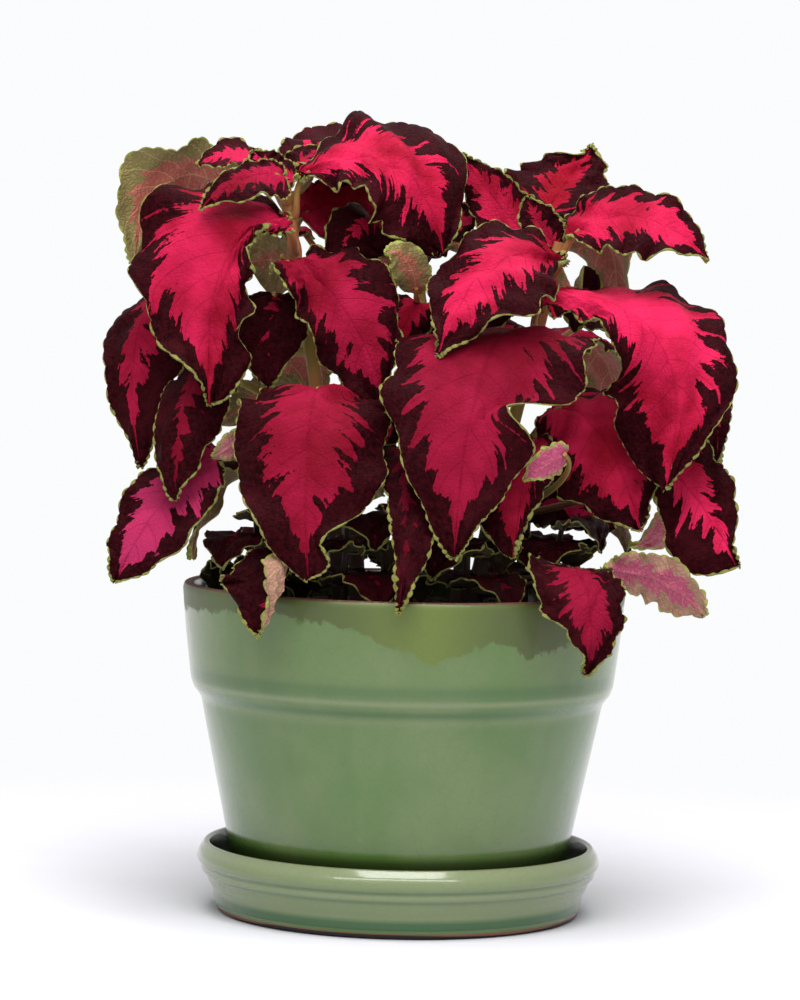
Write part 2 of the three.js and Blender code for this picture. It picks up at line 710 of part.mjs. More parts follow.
// A petiole leaves its stem square to it, GAP away, and runs into the base of the blade.
function petioleSolid(leaf) {
  const row = stems.find((each) => each.name === leaf.stem);
  const curve = stemCurves[leaf.stem];
  const t = stemAt(curve, leaf.node);
  const axis = curve.getPoint(t);
  const along = curve.getTangent(t);
  const base = vec(leaf.rib[0]);
  const inward = vec(leaf.rib[1]).sub(base).normalize();
  const away = base.clone().sub(axis);
  away.addScaledVector(along, -away.dot(along)).normalize();
  const stemRadius = taper(stemSize.root, stemSize.tip)(t) * row.size * Math.SQRT2;
  const start = axis.clone().addScaledVector(away, stemRadius * (1 - stemSize.chamfer * 0.4) + GAP);
  const span = base.distanceTo(start);
  const path = new THREE.CubicBezierCurve3(
    start,
    start.clone().addScaledVector(away, span * petiole.outward),
    base.clone().addScaledVector(inward, -span * petiole.inward),
    base.clone().addScaledVector(inward, petiole.sink),
  );
  const radius = (s) =>
    s < petiole.neck
      ? THREE.MathUtils.lerp(petiole.root, petiole.tip, s / petiole.neck)
      : THREE.MathUtils.lerp(petiole.tip, petiole.end, (s - petiole.neck) / (1 - petiole.neck));
  return limb(path, radius, roundSection(petiole.sides), petiole.steps, along);
}

// ---------------------------------------------------------------- leaf blades

// Half width at w (0 base, 1 tip): a parabola through the widths at 0.2, 0.5 and 0.8, rounded
// off to nothing at the base and drawn to a point at the tip. A tuck takes a share of it away
// round one place: [w there, share, spread].
function halfWidth(w, [near, middle, far], [place, share, spread] = blade.noTuck) {
  const x = (w - 0.5) / 0.3;
  const through = middle + (x * (far - near)) / 2 + x * x * ((near + far) / 2 - middle);
  const least = blade.least * Math.min(near, middle, far);
  const base = Math.sqrt(1 - (1 - Math.min(w / blade.round, 1)) ** 2);
  const end = Math.max((w - blade.point) / (1 - blade.point), 0);
  const oval = Math.sqrt(Math.max(1 - end * end, 0));
  const tip = THREE.MathUtils.lerp(1 - end, oval, blade.ellipse);
  const left = 1 - share * Math.exp(-(((w - place) / spread) ** 2));
  return Math.max(through, least) * base * tip * left;
}

// A point of the blade's middle sheet. w runs from base to tip; v from -1 at the left margin
// through 0 at the midrib to 1 at the right one; `extra` lengthens the half width there.
function bladePoint(leaf, w, v, extra) {
  const across = Math.abs(v);
  const left = v < 0;
  const widths = left ? leaf.left : leaf.right;
  const h = halfWidth(w, widths, left ? leaf.tuckLeft : leaf.tuckRight) * across + extra;
  const back = blade.shift * Math.sin(Math.PI * Math.min(w / blade.shiftEnd, 1) ** blade.shiftPower);
  const t = w - back * across;
  const inside = THREE.MathUtils.clamp(t, 0, 1);
  const curve = bezier(leaf.rib);
  const along = curve.getTangent(inside);
  const point = curve.getPoint(inside);
  if (t < 0) point.addScaledVector(along, t * curve.getLength());

  const [azimuth0, lift0, azimuth1, lift1] = leaf.across;
  const azimuth = THREE.MathUtils.lerp(azimuth0, azimuth1, inside) * DEG;
  const lift = THREE.MathUtils.lerp(lift0, lift1, inside) * DEG;
  const side = new THREE.Vector3(
    Math.cos(azimuth) * Math.cos(lift),
    Math.sin(azimuth) * Math.cos(lift),
    Math.sin(lift),
  );
  side.addScaledVector(along, -side.dot(along)).normalize();
  const up = along.clone().cross(side);

  const fold = leaf.bend[left ? 0 : 2] * DEG;
  const rate = (leaf.bend[left ? 1 : 3] * DEG) / Math.max(...widths);
  const angle = fold + rate * h;
  const bent = Math.abs(rate) > 1e-6;
  const lateral = bent ? (Math.sin(angle) - Math.sin(fold)) / rate : h * Math.cos(fold);
  const rise = bent ? (Math.cos(fold) - Math.cos(angle)) / rate : h * Math.sin(fold);

  const [height, cycles, phase] = leaf.wave;
  const turn = 2 * Math.PI * (cycles * w + phase) + (left ? 0 : blade.lag);
  const ripple = height * across * across * Math.sin(turn) * Math.sqrt(Math.sin(Math.PI * w));
  point.addScaledVector(side, left ? -lateral : lateral);
  return point.addScaledVector(up, rise + ripple);
}

// The blade as a closed sheet. Both faces have the same corners and are split alike; the margin
// has one tooth between each two rows.
function bladeSolid(leaf, rows, columns) {
  const spots = [];
  const index = new Map();
  const spot = (w, v, extra) => {
    const key = `${w.toFixed(5)},${w <= 0 || w >= 1 ? 0 : v.toFixed(5)},${extra}`;
    if (!index.has(key)) {
      index.set(key, spots.length);
      spots.push([w, v, extra]);
    }
    return index.get(key);
  };
  const faces = [];
  const face = (a, b, c) => {
    if (a !== b && b !== c && c !== a) faces.push([a, b, c]);
  };
  const across = (j) => (2 * j) / columns - 1;
  for (let i = 0; i < rows; i += 1) {
    const w0 = i / rows;
    const w1 = (i + 1) / rows;
    for (let j = 0; j < columns; j += 1) {
      const a = spot(w0, across(j), 0);
      const b = spot(w1, across(j), 0);
      const c = spot(w1, across(j + 1), 0);
      const d = spot(w0, across(j + 1), 0);
      if (j < columns / 2) {
        face(a, b, c);
        face(a, c, d);
      } else {
        face(a, b, d);
        face(b, c, d);
      }
    }
    const tooth = (w0 + w1) / 2;
    face(spot(w0, -1, 0), spot(tooth, -1, blade.tooth), spot(w1, -1, 0));
    face(spot(w1, 1, 0), spot(tooth, 1, blade.tooth), spot(w0, 1, 0));
  }

  const middle = spots.map(([w, v, extra]) => bladePoint(leaf, w, v, extra));
  const normals = middle.map(() => new THREE.Vector3());
  for (const [a, b, c] of faces) {
    const ab = middle[b].clone().sub(middle[a]);
    const ac = middle[c].clone().sub(middle[a]);
    const normal = ab.cross(ac);
    for (const corner of [a, b, c]) normals[corner].add(normal);
  }
  const corners = [];
  for (const offset of [0.5, -0.5]) {
    middle.forEach((point, i) => {
      const shift = normals[i].clone().normalize().multiplyScalar(offset * blade.thickness);
      corners.push(...point.clone().add(shift).toArray());
    });
  }
  const count = spots.length;
  const triangles = [];
  const edges = new Set();
  for (const [a, b, c] of faces) {
    triangles.push(a, b, c, a + count, c + count, b + count);
    for (const pair of [[a, b], [b, c], [c, a]]) edges.add(pair.join());
  }
  for (const edge of edges) {
    const [a, b] = edge.split(",").map(Number);
    if (!edges.has(`${b},${a}`)) {
      triangles.push(b, a, a + count, b, a + count, b + count);
    }
  }
  const geometry = new THREE.BufferGeometry();
  geometry.setAttribute("position", new THREE.Float32BufferAttribute(corners, 3));
  geometry.setIndex(triangles);
  return solidOf(geometry);
}

// A leaf that arches out from its base and hangs: the rib runs `reach` outward, first `rise` up
// and then `drop` down, and both halves are alike.
function archedLeaf({ name, stem, node, base, azimuth, reach, rise, drop, half, bend, wave }) {
  const out = [Math.cos(azimuth * DEG), Math.sin(azimuth * DEG)];
  const at = (share, height) => [
    base[0] + out[0] * reach * share,
    base[1] + out[1] * reach * share,
    base[2] + height,
  ];
  return {
    name,
    stem,
    node,
    rib: [base, at(0.4, rise), at(0.95, rise * 0.9), at(1, -drop)],
    across: [azimuth + 90, 0, azimuth + 90, 0],
    left: [half * 0.85, half, half * 0.72],
    right: [half * 0.85, half, half * 0.72],
    bend,
    wave,
  };
}

// Long leaves have more teeth, and broad or curled ones more strips across.
function leafSolid(leaf) {
  const length = bezier(leaf.rib).getLength();
  const rows = length > 90 ? 9 : length > 60 ? 7 : 5;
  const broad = Math.max(...leaf.left, ...leaf.right) > 25;
  const curled = Math.max(...leaf.bend) > 60;
  return bladeSolid(leaf, rows, broad || curled ? 4 : 2).add(petioleSolid(leaf));
}

// ---------------------------------------------------------------- low leafy shoots

// A short stem from the soil with pairs of small leaves, each pair turned a quarter from the
// one below. Stem and leaves are one solid.
function shootPath({ foot: [x, y], top }) {
  const middle = [(x + top[0]) / 2, (y + top[1]) / 2, THREE.MathUtils.lerp(soil.top, top[2], 0.7)];
  return bezier([[x, y, soil.top - shoot.sunk], [x, y, soil.top + shoot.sunk], middle, top]);
}

function shootSolid(row) {
  const { length, turn } = row;
  const path = shootPath(row);
  const radius = taper(shoot.root, shoot.tip);
  const parts = [limb(path, radius, roundSection(shoot.sides), shoot.steps, EAST)];
  const topPair = Math.ceil(shoot.leaves / 2) - 1;
  for (let i = 0; i < shoot.leaves; i += 1) {
    const pair = Math.floor(i / 2);
    const base = path.getPoint(THREE.MathUtils.lerp(shoot.lowest, 1, pair / topPair));
    const small = archedLeaf({
      base: base.toArray(),
      azimuth: turn + 90 * pair + 180 * (i % 2),
      reach: length * shoot.reach * (1 - shoot.shorter * pair),
      rise: length * shoot.rise,
      drop: length * shoot.drop,
      half: length * shoot.half,
      bend: [8, -20, 8, -20],
      wave: [0.4, 2, 0],
    });
    parts.push(bladeSolid(small, 3, 2));
  }
  return union(parts);
}

// The hole that a shoot's foot stands in.
function shootHole(row) {
  const path = shootPath(row);
  const radius = shoot.root + GAP;
  path.v0.z -= GAP;
  return limb(path, () => radius, roundSection(shoot.sides), shoot.steps, EAST);
}

// ---------------------------------------------------------------- the whole object

place("saucer", saucerSolid(), glaze);
place("pot", potSolid(), glaze);

const holes = [...stems.map(stemHole), ...shoots.map(shootHole)];
place("soil", holes.reduce((earthLeft, hole) => earthLeft.subtract(hole), soilSolid()), earth);

for (const row of stems) {
  const young = tipLeaves.filter((leaf) => leaf.stem === row.name);
  const blades = young.map((leaf) => bladeSolid(leaf.rib ? leaf : archedLeaf(leaf), 4, 2));
  place(`stem_${row.name}`, union([stemSolid(row), ...blades]), bark);
}

for (const leaf of [...frontLeaves, ...backLeaves.map(archedLeaf)]) {
  place(leaf.name, leafSolid(leaf), foliage);
}

for (const row of shoots) {
  place(row.name, shootSolid(row), shade);
}

export default plant;
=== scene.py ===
# %% [markdown]
# # A coleus in a glazed pot
# A coleus is grown for its leaves: a crimson heart, a dark maroon band that licks into it in
# flames, and a lime line along the scalloped margin. This one stands in a sage green glazed pot
# on its saucer. The imported model fixes where every piece is. This lesson gives each piece a finer
# skin in the same place, so the first step loads the model.

# %% Load the fixed frame
import math

import bpy
import numpy as np
from mathutils import Matrix, Vector


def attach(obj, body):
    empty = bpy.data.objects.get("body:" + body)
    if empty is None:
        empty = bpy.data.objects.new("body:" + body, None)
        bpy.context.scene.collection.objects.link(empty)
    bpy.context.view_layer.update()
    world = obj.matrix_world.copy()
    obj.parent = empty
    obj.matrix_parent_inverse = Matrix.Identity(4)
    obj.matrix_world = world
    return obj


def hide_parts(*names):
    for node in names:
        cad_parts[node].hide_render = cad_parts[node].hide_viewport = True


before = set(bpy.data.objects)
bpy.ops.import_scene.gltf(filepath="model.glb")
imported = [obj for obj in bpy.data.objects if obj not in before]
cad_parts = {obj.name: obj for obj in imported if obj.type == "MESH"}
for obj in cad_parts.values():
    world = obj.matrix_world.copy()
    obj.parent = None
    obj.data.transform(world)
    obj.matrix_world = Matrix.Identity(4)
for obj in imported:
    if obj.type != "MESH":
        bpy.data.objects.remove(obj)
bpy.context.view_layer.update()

MM = 0.001
TAU = 2 * math.pi
print("nodes in the frame:", len(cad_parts))

# %% [markdown]
# ## Camera
# A product picture is taken from far off with a long lens, so that the pot's upright lines stay
# upright. A near camera would show more depth, but it would spread them. This one is 1.6 m in
# front of the pot's axis, about as high as the middle of the leaves, looks down by three degrees
# and is turned by one degree about its own line of sight.

# %% Camera
CAMERA_PLACE = Vector((0.0, -1.6, 0.25924))
CAMERA_YAW, CAMERA_PITCH, CAMERA_ROLL = -0.0016, 0.0569, 0.0230  # radians
LENS = 141.8  # mm, for a sensor 36 mm high


def look_matrix(place, yaw, pitch, roll):
    """Columns of the camera's axes: right, up and backwards, with right and up turned by roll."""
    ahead = Vector((math.sin(yaw) * math.cos(pitch), math.cos(yaw) * math.cos(pitch), -math.sin(pitch)))
    right = Vector((math.cos(yaw), -math.sin(yaw), 0))
    up = right.cross(ahead)
    turned = right * math.cos(roll) + up * math.sin(roll)
    above = up * math.cos(roll) - right * math.sin(roll)
    axes = Matrix((turned, above, -ahead)).transposed().to_4x4()
    return Matrix.Translation(place) @ axes


scene = bpy.context.scene
camera_data = bpy.data.cameras.new("camera")
camera_data.sensor_width = 36
camera_data.lens = LENS
camera = bpy.data.objects.new("camera", camera_data)
camera.matrix_world = look_matrix(CAMERA_PLACE, CAMERA_YAW, CAMERA_PITCH, CAMERA_ROLL)
scene.collection.objects.link(camera)
scene.camera = camera
scene.view_settings.view_transform = "Standard"
print("camera lens", LENS, "mm, at", tuple(CAMERA_PLACE))

# %% [markdown]
# ## Light
# The light is a white room: a pale sky all round, a softbox overhead, a large one high in front
# and a long low one that draws a line of light on the saucer's rim. Light from above leaves the
# hanging leaves darker the lower they are, and the white room shows as pale streaks at both edges
# of the glaze. One lamp would do for form, but its small highlight would look like plastic.

# %% Softboxes and sky
SOFTBOXES = [
    # name, place in metres, width and height in metres, watts
    ("key softbox", (0.06, -0.9, 2.2), (1.5, 1.3), 48),
    ("long softbox", (-0.03, -1.9, 1.55), (3.0, 0.35), 25),
    ("top softbox", (0.0, 0.3, 2.1), (1.3, 1.3), 19),
]
AIM = Vector((0, 0, 0.18))
SKY_COLOUR = (0.985, 0.99, 1.0, 1)
SKY_LIGHT = 0.32  # what the sky gives as light
SKY_MIRRORED = 0.8  # how bright it is in the glaze
SKY_SEEN = 0.98  # and straight behind the plant

for name, place, (width, height), watts in SOFTBOXES:
    lamp = bpy.data.lights.new(name, "AREA")
    lamp.shape = "RECTANGLE"
    lamp.size, lamp.size_y = width, height
    lamp.energy = watts
    softbox = bpy.data.objects.new(name, lamp)
    softbox.location = place
    softbox.rotation_euler = (AIM - Vector(place)).to_track_quat("-Z", "Y").to_euler()
    scene.collection.objects.link(softbox)

world = bpy.data.worlds.new("white room")
world.use_nodes = True
scene.world = world
sky = world.node_tree.nodes["Background"]
sky.inputs["Color"].default_value = SKY_COLOUR
seen = world.node_tree.nodes.new("ShaderNodeLightPath")
strength = None
for ray, level in (("Is Glossy Ray", SKY_MIRRORED), ("Is Camera Ray", SKY_SEEN)):
    choice = world.node_tree.nodes.new("ShaderNodeMix")
    choice.inputs["A"].default_value = SKY_LIGHT
    choice.inputs["B"].default_value = level
    world.node_tree.links.new(seen.outputs[ray], choice.inputs["Factor"])
    if strength:
        world.node_tree.links.new(strength, choice.inputs["A"])
    strength = choice.outputs["Result"]
world.node_tree.links.new(strength, sky.inputs["Strength"])
print("softboxes:", len(SOFTBOXES))

# %% [markdown]
# ## A shorthand for shader nodes
# A finish is a tree of small nodes. Written out in full, each node takes four lines, and the idea
# drowns. The first class below adds a node, sets it, links it and hands back its output, so a
# finish reads like a sum. The second one is a material with such a tree and its Principled shader.

# %% Shader shorthand
class Graph:
    """Adds nodes to one shader tree; each call gives the new node's output socket."""

    def __init__(self, tree):
        self.tree = tree

    def node(self, kind, inputs, output=0, **settings):
        """A node of that kind, each input set to a value or linked to a socket."""
        made = self.tree.nodes.new("ShaderNode" + kind)
        for key, value in settings.items():
            setattr(made, key, value)
        for key, value in inputs.items():
            if isinstance(value, bpy.types.NodeSocket):
                self.tree.links.new(value, made.inputs[key])
            else:
                made.inputs[key].default_value = value
        return made.outputs[output]

    def math(self, operation, a, b=0.0, c=0.0):
        return self.node("Math", {0: a, 1: b, 2: c}, operation=operation)

    def times(self, a, b):
        return self.math("MULTIPLY", a, b)

    def plus(self, a, b):
        return self.math("ADD", a, b)

    def larger(self, a, b):
        return self.math("MAXIMUM", a, b)

    def line(self, value, slope, start):
        """slope * value + start."""
        return self.math("MULTIPLY_ADD", value, slope, start)

    def flipped(self, value):
        """1 - value."""
        return self.math("SUBTRACT", 1.0, value)

    def mix(self, share, a, b):
        """Colour a where share is 0 and b where it is 1. Both are sockets or screen colours."""
        a, b = (colour(*tone) if isinstance(tone, tuple) else tone for tone in (a, b))
        return self.node("Mix", {0: share, 6: a, 7: b}, 2, data_type="RGBA")

    def step(self, value, low, high):
        """0 below low, 1 above high, and an S curve between."""
        inputs = {"Value": value, "From Min": low, "From Max": high}
        return self.node("MapRange", inputs, interpolation_type="SMOOTHSTEP")

    def noise(self, vector, scale, detail=2.0, roughness=0.5):
        inputs = {"Vector": vector, "Scale": scale, "Detail": detail, "Roughness": roughness}
        return self.node("TexNoise", inputs)

    def numbers(self, k):
        """The three numbers of mesh attribute k at each corner."""
        vector = self.node("Attribute", {}, 1, attribute_name=ATTRIBUTES[k])
        made = self.tree.nodes.new("ShaderNodeSeparateXYZ")
        self.tree.links.new(vector, made.inputs[0])
        return list(made.outputs)

    def place(self):
        """Where the point is on the object, in metres."""
        return self.node("TexCoord", {}, "Object")

    def scaled(self, vector, x, y, z):
        return self.node("Mapping", {0: vector, "Scale": (x, y, z)})


def colour(red, green, blue):
    """A screen colour, each part 0 to 255, as the linear light that a shader wants."""
    parts = np.array([red, green, blue]) / 255
    linear = np.where(parts > 0.04045, ((parts + 0.055) / 1.055) ** 2.4, parts / 12.92)
    return (*linear.tolist(), 1)


class Finish(Graph):
    """A material's shader tree, with these constants on its Principled shader."""

    def __init__(self, name, **constants):
        self.material = bpy.data.materials.new(name)
        self.material.use_nodes = True
        super().__init__(self.material.node_tree)
        self.shader = self.tree.nodes["Principled BSDF"]
        for key, value in constants.items():
            self.shader.inputs[key.replace("_", " ")].default_value = value

    def give(self, **values):
        """Links values that change over the surface to the shader's inputs of those names."""
        for key, value in values.items():
            self.tree.links.new(value, self.shader.inputs[key.replace("_", " ")])

    def relief(self, height, depth):
        """Bumps of that height map, `depth` metres deep, on the shader's normal."""
        self.give(Normal=self.node("Bump", {"Height": height, "Distance": depth, "Strength": 1.0}))


print("shader shorthand ready")

# %% [markdown]
# ## Floor
# The floor is a sheet of white paper that runs far back and takes only the soft shadow. Real
# studios let such a sheet glow away into the background. Here the paper turns into plain light
# with the distance from the pot, as bright as the sky, so no line shows where the two meet.

# %% Floor
FLOOR_SIZE = 12.0
GLOW_START, GLOW_FULL = 0.2, 0.5  # metres from the pot's axis

paper = Finish("white paper", Roughness=0.9, Specular_IOR_Level=0.05)
grain = paper.noise(paper.place(), 40, 3)
paper.give(Base_Color=paper.mix(grain, (224, 223, 229), (228, 227, 233)))
distance = paper.node("VectorMath", {0: paper.place()}, "Value", operation="LENGTH")
glow = paper.node("Emission", {"Color": SKY_COLOUR, "Strength": SKY_SEEN})
faded = paper.node("MixShader", {0: paper.step(distance, GLOW_START, GLOW_FULL), 2: glow})
paper.tree.links.new(paper.shader.outputs[0], faded.node.inputs[1])
paper.tree.links.new(faded, paper.tree.nodes["Material Output"].inputs["Surface"])

floor_mesh = bpy.data.meshes.new("floor")
half = FLOOR_SIZE / 2
floor_corners = [(-half, -half, 0), (half, -half, 0), (half, half, 0), (-half, half, 0)]
floor_mesh.from_pydata(floor_corners, [], [(0, 1, 2, 3)])
floor_mesh.materials.append(paper.material)
floor = bpy.data.objects.new("floor", floor_mesh)
scene.collection.objects.link(floor)
print("floor", FLOOR_SIZE, "m square")

# %% [markdown]
# ## Meshes from whole arrays
# Every skin below is a grid of points: rows along something and columns across or around it.
# Numpy works out all the points at once, where a loop over single points would take minutes. The
# helpers here number the grid's faces, close its ends, join several grids into one mesh and put
# the numbers that the shader reads on its corners.

# %% Grids and meshes
ATTRIBUTES = ("measures_a", "measures_b", "measures_c")  # three numbers each, for the shader
SHARP_EDGE = math.radians(50)
triangles = {}  # in each piece, by its node


def unit(vectors):
    """Vectors of length one along the last axis."""
    return vectors / np.maximum(np.linalg.norm(vectors, axis=-1, keepdims=True), 1e-12)


def grid_faces(rows, columns, wrap=False):
    """Quads of a grid numbered row by row. With wrap, the last column meets the first."""
    i, j = np.meshgrid(np.arange(rows - 1), np.arange(columns - (not wrap)), indexing="ij")
    a = i * columns + j
    b = i * columns + (j + 1) % columns
    return np.stack([a, b, b + columns, a + columns], -1).reshape(-1, 4)


def capped(rows, columns):
    """The faces of a grid that is closed round, with one flat face over each end."""
    ring = np.arange(columns)[None]
    return [grid_faces(rows, columns, wrap=True), ring[:, ::-1], ring + (rows - 1) * columns]


def skin(points, faces, slots=0, numbers=(None, None, None)):
    """One part of a mesh: points in mm, a list of face tables, one material slot for all of them
    or one for each, and up to three tables of numbers for the shader."""
    slots = list(slots) if isinstance(slots, tuple) else [slots] * len(faces)
    given = [np.zeros((len(points), 3)) if table is None else table for table in numbers]
    return dict(points=points, faces=faces, slots=slots, numbers=given)


def put_mesh(name, node, parts, finishes):
    """Joins the parts into one mesh, in metres, with smooth faces and the sharper edges kept, and
    lets it ride on the root body in the place of its node."""
    first = np.cumsum([0] + [len(part["points"]) for part in parts])
    tables, slots = [], []
    for start, part in zip(first, parts):
        tables += [table + start for table in part["faces"]]
        slots += [np.full(len(table), s) for table, s in zip(part["faces"], part["slots"])]
    sizes = np.concatenate([np.full(len(table), table.shape[1]) for table in tables])
    corners = np.concatenate([table.ravel() for table in tables]).astype(np.int32)
    points = np.concatenate([part["points"] for part in parts]) * MM

    mesh = bpy.data.meshes.new(name)
    mesh.vertices.add(len(points))
    mesh.vertices.foreach_set("co", points.astype(np.float32).ravel())
    mesh.loops.add(len(corners))
    mesh.loops.foreach_set("vertex_index", corners)
    mesh.polygons.add(len(sizes))
    mesh.polygons.foreach_set("loop_start", (np.cumsum(sizes) - sizes).astype(np.int32))
    mesh.polygons.foreach_set("material_index", np.concatenate(slots).astype(np.int32))
    mesh.update(calc_edges=True)
    mesh.shade_smooth()
    mesh.set_sharp_from_angle(angle=SHARP_EDGE)
    for k, label in enumerate(ATTRIBUTES):
        values = np.concatenate([part["numbers"][k] for part in parts])
        attribute = mesh.attributes.new(label, "FLOAT_VECTOR", "POINT")
        attribute.data.foreach_set("vector", values.astype(np.float32).ravel())
    for finish in finishes:
        mesh.materials.append(finish.material)

    piece = bpy.data.objects.new(name, mesh)
    scene.collection.objects.link(piece)
    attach(piece, "root")
    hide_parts(node)
    triangles[node] = int((sizes - 2).sum())


print("mesh helpers ready")

# %% [markdown]
# ## The glaze
# A celadon-like glaze is a thin layer of green glass on clay. It runs while it melts, so it is
# darker where it gathers, above a ledge and at the foot, and paler where it thins over an edge.
# The colour also holds painted shade under the ledge, in the saucer's grooves, at the foot, in the
# gap between pot and saucer and on the inner walls, and painted highlights on the pale edge lines.
# Old pots also show a brown line on the rim, a fine net of cracks, and damp that has crept down
# from the rim. A painted picture could show all that, but it would blur close up. So the turned
# skins below carry those measures as numbers, and noise in the shader breaks them up.

# %% Glaze
glaze = Finish("sage glaze", Coat_Roughness=0.06)
pooled_and_shade, worn, bare_and_shade = glaze.numbers(0)
damp, paler_and_highlight, inside = glaze.numbers(1)
front_green = glaze.numbers(2)[0]
here = glaze.place()
clouds = glaze.noise(here, 18, 3, 0.55)
streaks = glaze.noise(glaze.scaled(here, 55, 55, 9), 1.0, 2)
speckle = glaze.noise(here, 420, 3, 0.6)
ragged = glaze.line(glaze.noise(here, 110, 6, 0.78), 16.0, -8.0)
soaked = glaze.step(glaze.plus(damp, ragged), -0.4, 1.2)
cracks = glaze.node("TexVoronoi", {"Vector": here, "Scale": 210.0}, "Distance", feature="DISTANCE_TO_EDGE")
crack = glaze.flipped(glaze.step(cracks, 0.0, 0.045))
green = glaze.mix(glaze.step(clouds, 0.35, 0.7), (74, 108, 42), (96, 118, 66))
for share, tone in [
    (glaze.times(glaze.step(streaks, 0.45, 0.75), 0.35), (104, 124, 72)),
    (glaze.times(glaze.step(speckle, 0.6, 0.8), 0.25), (72, 88, 54)),
    # pale glaze where it thins, with a painted highlight on the ledge's edge and the saucer's bead
    (paler_and_highlight, (122, 134, 94)),
    # glaze pooling, with painted shade under the ledge, in the grooves and at the feet
    (glaze.times(pooled_and_shade, 0.95), (26, 80, 28)),
    (glaze.times(soaked, 0.8), glaze.mix(front_green, (66, 74, 30), (98, 112, 38))),
    (glaze.times(crack, 0.12), (70, 78, 48)),
    (glaze.times(worn, glaze.step(speckle, 0.3, 0.5)), (88, 44, 30)),
    # painted shade on the inner walls and in the gap between pot and saucer
    (glaze.times(inside, 0.8), (34, 42, 18)),
]:
    green = glaze.mix(share, green, tone)
clay = glaze.mix(clouds, (98, 58, 46), (138, 90, 72))
# painted contact shadow: the foot's lowest edge goes nearly black
clay = glaze.mix(glaze.step(bare_and_shade, 1.0, 1.4), clay, (24, 16, 12))
is_bare = glaze.step(glaze.line(speckle, 0.5, bare_and_shade), 0.55, 0.75)
dull = glaze.larger(glaze.larger(is_bare, worn), glaze.times(soaked, 0.6))
glaze.give(
    Base_Color=glaze.mix(is_bare, green, clay),
    Roughness=glaze.line(dull, 0.6, glaze.line(clouds, 0.12, 0.12)),
    Coat_Weight=glaze.line(dull, -0.5, 0.5))
glaze.relief(glaze.plus(glaze.noise(here, 70, 2), glaze.times(crack, -0.06)), 0.0003)
print("glaze nodes:", len(glaze.tree.nodes))

# %% [markdown]
# ## Turned pieces
# Pot and saucer were thrown on a wheel, so each is one outline carried round the axis. The outline
# is a list of corners with the rounding that a thumb or a sponge gave each of them. Long stretches
# are cut up so that the shader's numbers can change along them. A Screw modifier would do the same,
# but an array also gives each point its height and angle, which the glaze needs.

# %% Turned skins
AROUND = 224  # columns round a turned piece


def rounded(corners, steps=6):
    """Each corner [radius, height, rounding] becomes a curve that starts and ends `rounding` mm
    away from it: (1-u)^2 start + 2u(1-u) corner + u^2 end."""
    table = np.array(corners, float)
    spot, reach = table[:, :2], table[:, 2:]
    before = unit(np.roll(spot, 1, 0) - spot)
    after = unit(np.roll(spot, -1, 0) - spot)
    u = np.linspace(0, 1, steps)[None, :, None]
    start, end = (spot + before * reach)[:, None], (spot + after * reach)[:, None]
    return ((1 - u) ** 2 * start + 2 * u * (1 - u) * spot[:, None] + u**2 * end).reshape(-1, 2)


def resampled(line, longest):
    """The line with points added so that no stretch is longer than `longest` mm."""
    run = np.concatenate([[0], np.cumsum(np.linalg.norm(np.diff(line, axis=0), axis=1))])
    marks = np.unique(np.round(np.concatenate([run, np.arange(0, run[-1], longest)]), 3))
    return np.stack([np.interp(marks, run, line[:, k]) for k in (0, 1)], -1)


def turned(outline, measures, closed):
    """A skin turned round Z: point = (r cos a, r sin a, z) for each outline point (r, z) and
    angle a. `measures` gives the shader's numbers from radius, height and degrees from the front."""
    angle = np.arange(AROUND) / AROUND * TAU
    radius = np.repeat(outline[:, :1], AROUND, 1)
    height = np.repeat(outline[:, 1:], AROUND, 1)
    turn = np.repeat(angle[None], len(outline), 0)
    points = np.stack([radius * np.cos(turn), radius * np.sin(turn), height], -1).reshape(-1, 3)
    faces = capped(len(outline), AROUND)
    if closed:
        last, ring = faces[2][0], np.arange(AROUND)
        faces[1:] = [np.stack([last, np.roll(last, -1), np.roll(ring, -1), ring], -1)]
    front = (np.degrees(turn) + 90 + 180) % 360 - 180  # degrees from the front
    return skin(points, faces, 0, measures(radius.ravel(), height.ravel(), front.ravel()))


def peak(value, centre, width):
    """1 at the centre and down to a third `width` away: exp(-((value - centre) / width)^2)."""
    return np.exp(-(((value - centre) / width) ** 2))


def band(value, low, high, soft):
    """1 between low and high, falling off over `soft` on both sides."""
    return np.clip((value - low) / soft, 0, 1) * np.clip((high - value) / soft, 0, 1)


print("columns round a turned piece:", AROUND)

# %% [markdown]
# ## Pot
# The pot is a plain flowerpot: a tapered wall, a rounded step, and a straight band that flares to
# the rim. The damp's lower edge is a line round the band, given in degrees from the front and
# millimetres below the rim, because that is how one would mark it on the real pot.

# %% Pot
POT_RIM = 133.6
POT_OUTLINE = [
    # radius, height, rounding
    (8, 8.3, 0.5), (57.4, 8.3, 0.6), (58.4, 6.3, 0.6), (64.4, 6.3, 0.7), (65.5, 8.3, 1.2),
    (80.4, 80.0, 8), (81.8, 87.4, 2.0), (84.9, 91.2, 1.6), (86.1, 94.6, 1.8),
    (87.4, 105, 6), (88.9, 118, 6), (90.0, 131.8, 1.2), (89.2, 133.6, 0.8),
    (85.8, 133.6, 0.9), (84.2, 130.4, 1.6), (77.8, 95, 6), (60.8, 17.4, 4), (58.8, 15.3, 1.5),
    (8, 15.3, 0.5),
]
DAMP_EDGE = [
    # degrees from the front, mm below the rim
    (-180, 9), (-150, 14), (-128, 8), (-100, 12), (-78, 11), (-58, 9), (-44, 8), (-30, 8), (-18, 10),
    (-11, 13), (-4, 18), (3, 21), (8, 25), (13, 23), (17, 19), (22, 17), (28, 16), (34, 23), (39, 20),
    (50, 16), (64, 9), (84, 5), (110, 11), (140, 7), (160, 12), (180, 9),
]
FRONT_GREEN_MIDDLE, FRONT_GREEN_SPREAD = 5, 15  # degrees, where the damp is greenest


